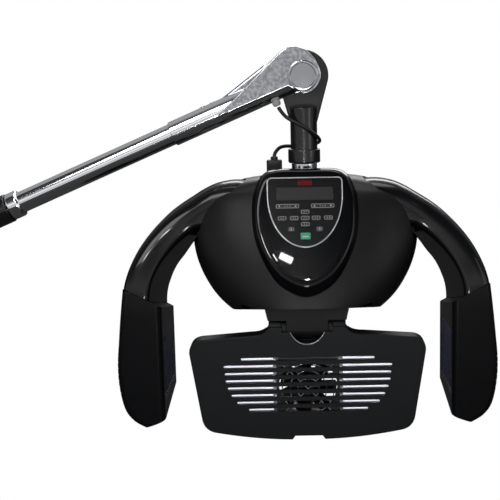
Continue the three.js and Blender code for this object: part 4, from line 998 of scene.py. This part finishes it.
def build_dome():
    for name, node, low, high in (
        ("dome_front", "head_front_shell", -GAP / 2, BIG),
        ("dome_rear", "head_rear_shell", -BIG, GAP / 2),
    ):
        half = carved(dome_skin(), block(-BIG, BIG, low, high, -BIG, BIG))
        bmesh.ops.remove_doubles(half, verts=half.verts, dist=0.02)
        finished(name, half, SHELL, (node,), angle=28)
    cover = carved(carved(dome(WALL + GAP), under_foot()), under_foot(COVER_T), operation="INTERSECT")
    cover = carved(cover, block(-BRACKET_ROOM, BRACKET_ROOM, BRACKET_FRONT, BRACKET_BACK, -BIG, BIG))
    finished("underside_cover", cover, SHELL, ("underside_cover",), angle=28)
    dressed("head_chassis", HINGE, edge=0.6)
    for side in ("left", "right"):
        dressed(f"arm_pin_{side}", STEEL, edge=0.4)


# Shield, fascia and keys, in the fascia's own frame: x across, y up the slope, z out

def shield_outline(grow):
    """The shield's outline, moved outwards by a distance."""
    closed = smooth_closed([(x, v, 0) for x, v in both_sides(SHIELD_OUTLINE)], 6)
    outline = []
    for i, p in enumerate(closed):
        way = closed[(i + 1) % len(closed)] - closed[i - 1]
        outline.append(p + Vector((-way.y, way.x, 0)).normalized() * grow)
    return outline


def shield_form(grow):
    """The shield as a solid that falls off to its edge and levels out softly at the fascia's plane."""
    outline = shield_outline(grow)
    edge = SHIELD_CROWN - SHIELD_DROP
    foot = []
    for p in outline:
        hood = smoothstep(p.y, HOOD_FROM, HOOD_TO)
        foot.append((p.x, p.y, edge - lerp(SHIELD_SKIRT, SHIELD_HOOD, hood) + min(0, grow)))
    rings = [foot]
    for k in range(SHIELD_RINGS + 1):
        scale = 1 - SHIELD_DRAW * (k / SHIELD_RINGS) ** 2
        level = SHIELD_CROWN - SHIELD_DROP * scale**SHIELD_POWER
        level = -math.log(1 + math.exp(-level / SHIELD_SOFT)) * SHIELD_SOFT + grow
        rings.append([(p.x * scale, lerp(SHIELD_CENTRE, p.y, scale), level) for p in outline])
    return lofted(rings)


def fascia_outline(grow, steps=32):
    """The fascia's outline, square at the top and round at the foot, moved outwards by a distance."""
    half, top, corner = FASCIA_HALF + grow, FASCIA_TOP + grow, FASCIA_CORNER + grow
    points = arc(0, FASCIA_WAIST, half, FASCIA_WAIST - FASCIA_FOOT + grow, 180, 360, steps)
    points += arc(half - corner, top - corner, corner, corner, 0, 90, 6)
    return points + arc(corner - half, top - corner, corner, corner, 90, 180, 6)


def key_plate(place, grow, low, high):
    x, v, w, h = place
    return plate(round_rect(x, v, w + 2 * grow, h + 2 * grow, KEY_CORNER + grow), low, high)


def raised_mark(points):
    """A mark of a given outline on a key's face."""
    return plate(points, KEY_PROUD - MARK_SINK, KEY_PROUD + MARK_PROUD)


def frame_line(place, inset):
    """A fine raised line just inside a key's edge."""
    x, v, w, h = place
    outer, inner = (
        round_rect(x, v, w - 2 * shrink, h - 2 * shrink, KEY_CORNER + 1 - shrink)
        for shrink in (inset, inset + MARK_W)
    )
    return carved(raised_mark(outer), plate(inner, -BIG, BIG))


def dot(x, v, radius, sides=20):
    return raised_mark(arc(x, v, radius, radius, 0, 360 - 360 / sides, sides - 1))


def arrow(x, v, way):
    half, tail, tip = ARROW_SIZE, way * ARROW_SIZE * 0.6, way * ARROW_SIZE * 0.8
    points = ((x - half, v - tail), (x + half, v - tail), (x, v + tip))
    return raised_mark(points[::way])


def key_marks(name, place):
    """Plain marks that tell the keys apart: outlines, arrows, dots and a bar."""
    x, v, w, h = place
    if name.startswith("key_timer"):
        way = 1 if name.endswith("up") else -1
        arrows = [arrow(x + s * (w / 2 - ARROW_INSET), v, -s * way) for s in (-1, 1)]
        dots = [dot(x + s * DOT_PITCH, v, TIMER_DOT) for s in (-1, 0, 1)]
        return merged(frame_line(place, FRAME_INSET), *arrows, *dots)
    if name in ("key_lamp", "key_fan"):
        return merged(frame_line((x, v, *ROUND_FRAME), ROUND_FRAME_INSET), dot(x, v, ROUND_DOT))
    if name == "key_start":
        return raised_mark(round_rect(x, v - START_BAR_DROP, *START_BAR, START_BAR_CORNER))
    dots = [dot(x + s * SMALL_DOT_PLACE, v, SMALL_DOT) for s in (-1, 1)]
    return merged(frame_line(place, FRAME_INSET), *dots)


def build_controls():
    opening = plate(fascia_outline(2 * GAP + TRIM_W), -BIG, BIG)
    shell = carved(shield_form(0), shield_form(-WALL), opening)
    finished("control_shield", shell, GLOSS, ("control_shield",), FASCIA, angle=40)
    ring = plate(fascia_outline(GAP + TRIM_W), -WALL, TRIM_PROUD)
    ring = carved(ring, plate(fascia_outline(GAP), -BIG, BIG))
    finished("fascia_trim", rounded(ring, 0.35, segments=2, angle=50), TRIM, ("panel_trim",), FASCIA)
    openings = [key_plate(place, GAP, -BIG, BIG) for place in (*KEY_LAYOUT.values(), DISPLAY, SENSOR)]
    face = carved(plate(fascia_outline(0), -WALL, 0), *openings)
    finished("fascia_face", rounded(face, 0.2, segments=2, angle=50), FACE, ("control_panel",), FASCIA)
    for name, place in KEY_LAYOUT.items():
        cap = rounded(key_plate(place, 0, -WALL - KEY_REACH, KEY_PROUD), 0.5, segments=3, angle=50)
        finished(f"{name}_cap", cap, GREEN if name == "key_start" else KEYS, (name,), FASCIA)
        finished(f"{name}_mark", key_marks(name, place), MARK, None, FASCIA, body=BODY_OF[name])
    for name, place, material in (("display", DISPLAY, GLASS), ("sensor", SENSOR, RED)):
        pane = rounded(key_plate(place, 0, -PANE_SINK - PANE_T, -PANE_SINK), 0.2, segments=2, angle=50)
        finished(f"{name}_pane", pane, material, (f"{name}_window",), FASCIA)
    dressed("control_board", BOARD)


# Arms and pods, built on the right and mirrored for the left

def arm_ring(share):
    """The arm's section at a share of the way from its root to its foot."""
    angle, outer, near, far = (along(ARM_STATIONS, k, share) for k in range(4))
    grown = smoothstep(-angle, -ARM_GROW_FROM, -ARM_GROW_TO)
    half = lerp(ARM_ROOT_HALF, ARM_FOOT_HALF, grown)
    edge = lerp(ARM_EDGE_ROOT, ARM_EDGE_FOOT, grown)
    section = (
        (near, -half, ARM_INNER_EDGE),
        (outer, -half, edge),
        (outer, half, edge),
        (far, half, ARM_INNER_EDGE),
    )
    ring = []
    for i, (r, y, round_off) in enumerate(section):
        corner = Vector((r, y))
        ends = []
        for other in (section[i - 1], section[(i + 1) % 4]):
            ends.append(corner + (Vector(other[:2]) - corner).normalized() * round_off)
        ring.append(tuple(ends[0]))
        ring += bend(tuple(ends[0]), tuple(corner), tuple(ends[1]), CORNER_STEPS)
    c, s = math.cos(math.radians(angle)), math.sin(math.radians(angle))
    return [(SWEEP_X + r * c, y, SWEEP_Z + r * s) for r, y in ring]


def seam_plane(drop):
    normal = Vector((-SEAM_SLOPE_X, SEAM_SLOPE_Y, 1)).normalized()
    return Vector(SEAM_POINT) - Vector((0, 0, drop)), normal


def pod_foot_plane():
    normal = Vector((-POD_FOOT_SLOPE_X, POD_FOOT_SLOPE_Y, 1)).normalized()
    return Vector((POD_FACE_X, -POD_HALF, POD_FOOT)), normal


def pod_outline():
    shares = [k / POD_STEPS for k in range(POD_STEPS + 1)]
    curve = [(along(POD_OUTER, 0, share), along(POD_OUTER, 1, share)) for share in shares]
    return [(POD_FACE_X, POD_TOP), (POD_FACE_X, curve[0][1]), *curve, (curve[-1][0] - 1, POD_TOP)]


def mirrored(bm):
    bm.transform(Matrix.Scale(-1, 4, (1, 0, 0)))
    bmesh.ops.reverse_faces(bm, faces=bm.faces)
    return bm


def arm_form():
    band = lofted([arm_ring(i / ARM_RINGS) for i in range(ARM_RINGS + 1)])
    point, normal = seam_plane(0)
    band = below(band, point, -normal)
    hub = turned(rounded_rod(HUB_R, -ARM_ROOT_HALF, ARM_ROOT_HALF, edge=2), "y", (HUB_X, 0, HUB_Z))
    return merged(rounded(band, 0.8, segments=2, angle=50), hub)


def pod_form():
    """A pod with its lamp room, the room's mouth towards the head and the vents in its outer side."""
    body = rounded(slab(pod_outline(), -POD_HALF, POD_HALF), POD_EDGE, segments=6, angle=40)
    point, normal = seam_plane(GAP + 0.1)
    body = below(body, point, normal)
    point, normal = pod_foot_plane()
    body = below(body, point, -normal)
    depth = POD_HALF - POD_WALL - POD_ROOM_INSET
    room = block(POD_FACE_X + POD_WALL, POD_ROOM_TO, -depth, depth, POD_ROOM_FOOT, POD_ROOM_TOP)
    inner = POD_FACE_X + 2 * POD_WALL
    mouth = block(POD_FACE_X - BIG, inner, -POD_OPEN_HALF, POD_OPEN_HALF, POD_OPEN_FOOT, POD_OPEN_TOP)
    vents = [block(POD_VENT_X, BIG, -POD_HALF - 1, POD_VENT_Y, z, z + POD_VENT_H) for z in POD_VENTS]
    return rounded(carved(body, room, mouth, *vents), 0.8, segments=2, angle=50)


def build_arms():
    for side in ("right", "left"):
        for name, form, node in (("arm", arm_form, "arm_shell"), ("pod", pod_form, "pod_shell")):
            bm = form()
            if side == "left":
                mirrored(bm)
            finished(f"{name}_{side}", bm, ARM, (f"{node}_{side}",), angle=30)
        # The pod reflector's faint glow is painted light
        dressed(f"pod_reflector_{side}", PAINTED_GLOW_SHEET, edge=0.3)
        dressed(f"pod_lamp_{side}", QUARTZ)
        dressed(f"pod_guard_{side}", GUARD, edge=0.5)


# Centre panel and fan

def panel_outline():
    neck = PANEL_SHOULDER + PANEL_NECK_RISE
    half = [(0, PANEL_NECK), (LUG_TO, PANEL_NECK)]
    half += bend(half[-1], (LUG_TO + PANEL_NECK_RISE, neck), (LUG_TO + PANEL_NECK_RUN, neck))
    half.append((PANEL_HALF - PANEL_CORNER, PANEL_SHOULDER))
    half += bend(half[-1], (PANEL_HALF, PANEL_SHOULDER - 1), (PANEL_HALF, PANEL_SHOULDER - PANEL_CORNER))
    half.append((PANEL_FOOT_HALF, PANEL_SIDE_FOOT))
    turn = [(PANEL_FOOT_HALF - x, PANEL_SIDE_FOOT - z) for x, z in (PANEL_FOOT_BEND, PANEL_FOOT_TURN)]
    half += bend(half[-1], *turn)
    half += bend(half[-1], (PANEL_FOOT_HALF / 2, PANEL_FOOT + 1), (PANEL_NOTCH_HALF + 4, PANEL_FOOT))
    half += [(PANEL_NOTCH_HALF, PANEL_FOOT + PANEL_NOTCH), (0, PANEL_FOOT + PANEL_NOTCH)]
    return both_sides(half)


def barrel(radius, ends, edge=0.0):
    """A round piece on the hinge's axis."""
    low, high = sorted(ends)
    profile = rounded_rod(radius, low, high, edge) if edge else plain_rod(radius, low, high)
    return turned(profile, "x", (0, HINGE_Y, HINGE_Z))


def panel_case():
    return rounded(slab(panel_outline(), PANEL_FRONT_Y, PANEL_RIM_Y), PANEL_EDGE, segments=6, angle=60)


def recess_curve():
    """The recess under the hinge, from its right end round the tip to its left end."""
    right = [(RECESS_HALF, RECESS_TOP)]
    right += bend(right[0], (RECESS_HALF - RECESS_BEND, RECESS_TIP), (0, RECESS_TIP), 12)
    return right + [(-x, z) for x, z in reversed(right[:-1])]


def build_recess_highlight():
    """A bright bead round the recess, painting the highlight on the recess's edge."""
    path = [Vector((x, PANEL_FRONT_Y - 0.1, z)) for x, z in recess_curve()]
    finished("recess_highlight_bead", round_bar(path, RECESS_HIGHLIGHT_BEAD), TRIM, None, body="centre_panel")


def build_panel():
    build_panel_front()
    build_recess_highlight()
    build_panel_back()
    # The panel's reflector glows in bands behind the slots: painted highlights
    dressed("panel_reflector", SHEET, edge=0.3)
    for place in ("upper", "lower"):
        dressed(f"panel_lamp_{place}", QUARTZ)
    dressed("panel_hinge_pin", STEEL)
    dressed("fan_frame", RUBBER, edge=0.6)
    dressed("fan_rotor", RUBBER, edge=0.2)
    build_guard()


def build_panel_front():
    front = below(panel_case(), (0, PANEL_SPLIT_Y, 0), (0, 1, 0))
    room = block(1 - HUMP_HALF, HUMP_HALF - 1, PANEL_FRONT_Y + WALL, BIG, HUMP_FOOT + WALL, HUMP_TOP - WALL)
    slots = []
    for i, reach in enumerate(SLOT_HALVES):
        outline = round_rect(0, SLOT_TOP - i * SLOT_PITCH, 2 * reach, SLOT_H, SLOT_H / 2, 6)
        slots.append(slab(outline, PANEL_FRONT_Y - 1, PANEL_FRONT_Y + WALL + 1))
    high = [(LUG_FROM, BRACKET_FOOT), (LUG_FROM, RECESS_TOP)]
    recess = slab([*high, *recess_curve(), *((-x, z) for x, z in reversed(high))], -BIG, HINGE_Y)
    tongue = barrel(TONGUE_R + TONGUE_PLAY, (-LUG_FROM, LUG_FROM))
    front = rounded(carved(front, room, recess, tongue, *slots), 0.7, segments=2, angle=55)
    lugs = [barrel(BARREL_R, (s * LUG_FROM, s * LUG_TO), edge=2) for s in (-1, 1)]
    finished("panel_front", merged(front, *lugs), PANEL, ("panel_front",), angle=30)
    spacers = [barrel(TONGUE_R - 1, (s * TONGUE_HALF, s * LUG_FROM), edge=0.4) for s in (-1, 1)]
    finished("hinge_spacers", merged(*spacers), HINGE, None, body="centre_panel")


def build_panel_back():
    back = below(panel_case(), (0, PANEL_SPLIT_Y + GAP, 0), (0, -1, 0))
    middle = (HUMP_TOP + HUMP_FOOT) / 2
    outline = round_rect(0, middle, 2 * HUMP_HALF, HUMP_TOP - HUMP_FOOT, HUMP_CORNER)
    hump = rounded(slab(outline, PANEL_SPLIT_Y + 1, PANEL_BACK_Y), HUMP_EDGE, segments=4, angle=60)
    back = carved(back, hump, operation="UNION")
    inner = HUMP_HALF - WALL
    room = block(-inner, inner, -BIG, PANEL_BACK_Y - WALL, HUMP_FOOT + WALL, HUMP_TOP - WALL)
    pitch = (BACK_OPEN_TOP - BACK_OPEN_FOOT) / (BACK_BARS + 1)
    gaps = []
    for i in range(BACK_BARS + 1):
        z = BACK_OPEN_FOOT + i * pitch
        low = z + BACK_BAR / 2 * (i > 0)
        high = z + pitch - BACK_BAR / 2 * (i < BACK_BARS)
        gaps.append(block(-BACK_OPEN_HALF, BACK_OPEN_HALF, -BIG, BIG, low, high))
    reach = LUG_TO + BARREL_ROOM
    back = carved(back, room, barrel(BARREL_R + BARREL_ROOM, (-reach, reach)), *gaps)
    back = rounded(back, 0.6, segments=2, angle=55)
    finished("panel_back", back, PANEL, ("panel_back",), angle=30)


def build_guard():
    y = PANEL_FRONT_Y + WALL + GAP + GUARD_WIRE / 2
    wire = arc(0, 0, GUARD_WIRE / 2, GUARD_WIRE / 2, 0, 330, 11)
    parts = [turned([(r + a, y + b) for a, b in wire], "y", (0, 0, FAN_Z), sides=64) for r in GUARD_RINGS]
    for turn in (45, 135):
        spoke = turned(rounded_rod(GUARD_WIRE / 2, -GUARD_SPOKE, GUARD_SPOKE, edge=0.4), "x", sides=12)
        spoke.transform(Matrix.Translation((0, y, FAN_Z)) @ Matrix.Rotation(math.radians(turn), 4, "Y"))
        parts.append(spoke)
    finished("fan_guard", merged(*parts), WIRE, ("fan_guard",))


# Studio

def area_light(name, place, target, size, power, turn=0):
    """A bright rectangle that faces a target, turned in its own plane by degrees."""
    light = bpy.data.lights.new(name, "AREA")
    light.shape = "RECTANGLE"
    light.size, light.size_y = size
    light.energy = power
    obj = bpy.data.objects.new(name, light)
    obj.location = place
    facing = (Vector(target) - Vector(place)).to_track_quat("-Z", "Y").to_matrix()
    obj.rotation_euler = (facing @ Matrix.Rotation(math.radians(turn), 3, "Z")).to_euler()
    bpy.context.scene.collection.objects.link(obj)


def ramp(nodes, links, stops, target):
    """A grey scale between stops of (place, brightness); gives the socket that drives it."""
    scale = nodes.new("ShaderNodeValToRGB")
    steps = scale.color_ramp.elements
    while len(steps) < len(stops):
        steps.new(0.5)
    for step, (at, value) in zip(steps, stops):
        step.position = at
        step.color = (value, value, value, 1)
    links.new(scale.outputs["Color"], target)
    return scale.inputs["Fac"]


def mixed(nodes, links, rays, plain, reflected, shown, output):
    """One surface for light, one for mirror images and one for the camera."""
    mirror = nodes.new("ShaderNodeMixShader")
    links.new(rays.outputs["Is Glossy Ray"], mirror.inputs["Fac"])
    links.new(plain, mirror.inputs[1])
    links.new(reflected, mirror.inputs[2])
    whole = nodes.new("ShaderNodeMixShader")
    links.new(rays.outputs["Is Camera Ray"], whole.inputs["Fac"])
    links.new(mirror.outputs["Shader"], whole.inputs[1])
    links.new(shown, whole.inputs[2])
    links.new(whole.outputs["Shader"], output.inputs["Surface"])


def build_floor():
    bm = bmesh.new()
    bmesh.ops.create_grid(bm, x_segments=1, y_segments=1, size=FLOOR_SIZE)
    mesh = bpy.data.meshes.new("floor")
    bm.to_mesh(mesh)
    bm.free()
    floor = bpy.data.objects.new("floor", mesh)
    floor.location.z = FLOOR_Z
    bpy.context.scene.collection.objects.link(floor)
    material = bpy.data.materials.new("pale floor")
    material.use_nodes = True
    nodes, links = material.node_tree.nodes, material.node_tree.links
    surface = nodes["Principled BSDF"]
    surface.inputs["Base Color"].default_value = (FLOOR_GREY, FLOOR_GREY, FLOOR_GREY, 1)
    surface.inputs["Roughness"].default_value = FLOOR_ROUGHNESS
    white = nodes.new("ShaderNodeEmission")
    rays = nodes.new("ShaderNodeLightPath")
    place = nodes.new("ShaderNodeTexCoord")
    parts = nodes.new("ShaderNodeSeparateXYZ")
    links.new(place.outputs["Object"], parts.inputs["Vector"])
    share = worked_out(nodes, links, "MULTIPLY", parts.outputs["Y"], -1 / FLOOR_FADE)
    seen = nodes.new("ShaderNodeEmission")
    links.new(share, ramp(nodes, links, FLOOR_SEEN, seen.inputs["Color"]))
    kinds = (surface.outputs["BSDF"], seen.outputs["Emission"], white.outputs["Emission"])
    mixed(nodes, links, rays, *kinds, nodes["Material Output"])
    mesh.materials.append(material)


def build_world():
    world = bpy.data.worlds.new("studio")
    world.use_nodes = True
    nodes, links = world.node_tree.nodes, world.node_tree.links
    soft = nodes["Background"]
    soft.inputs["Color"].default_value = (1, 1, 1, 1)
    soft.inputs["Strength"].default_value = SOFT_LIGHT
    white = nodes.new("ShaderNodeBackground")
    white.inputs["Color"].default_value = (1, 1, 1, 1)
    seen = nodes.new("ShaderNodeBackground")
    place = nodes.new("ShaderNodeTexCoord")
    parts = nodes.new("ShaderNodeSeparateXYZ")
    links.new(place.outputs["Generated"], parts.inputs["Vector"])
    behind = worked_out(nodes, links, "GREATER_THAN", parts.outputs["Y"], 0)
    choice = nodes.new("ShaderNodeMixRGB")
    links.new(behind, choice.inputs["Fac"])
    links.new(parts.outputs["Z"], ramp(nodes, links, SKY_BEFORE, choice.inputs["Color1"]))
    links.new(parts.outputs["Z"], ramp(nodes, links, SKY_BEHIND, choice.inputs["Color2"]))
    links.new(choice.outputs["Color"], seen.inputs["Color"])
    rays = nodes.new("ShaderNodeLightPath")
    kinds = [node.outputs["Background"] for node in (soft, seen, white)]
    mixed(nodes, links, rays, *kinds, nodes["World Output"])
    bpy.context.scene.world = world


def build_studio():
    build_floor()
    build_world()
    for name, place, size, power in LIGHTS:
        area_light(name, PIVOT + Vector(place), PIVOT + LIGHT_TARGET, size, power)
    for name, point, way, size, power, turn in CARDS:
        place = HANGING @ Vector(point)
        area_light(name, place + Vector(way).normalized() * CARD_DISTANCE, place, size, power, turn)
    camera = bpy.data.cameras.new("camera")
    camera.angle = CAMERA_ANGLE
    camera.shift_x = CAMERA_SHIFT
    camera.dof.use_dof = False
    eye = bpy.data.objects.new("camera", camera)
    eye.matrix_world = (
        Matrix.Translation(PIVOT + CAMERA_PLACE)
        @ Matrix.Rotation(CAMERA_PITCH, 4, "X")
        @ Matrix.Rotation(CAMERA_ROLL, 4, "Z")
    )
    bpy.context.scene.collection.objects.link(eye)
    bpy.context.scene.camera = eye
    bpy.context.scene.view_settings.view_transform = "Standard"


build_boom()
build_post()
build_lead()
build_dome()
build_controls()
build_arms()
build_panel()
build_studio()
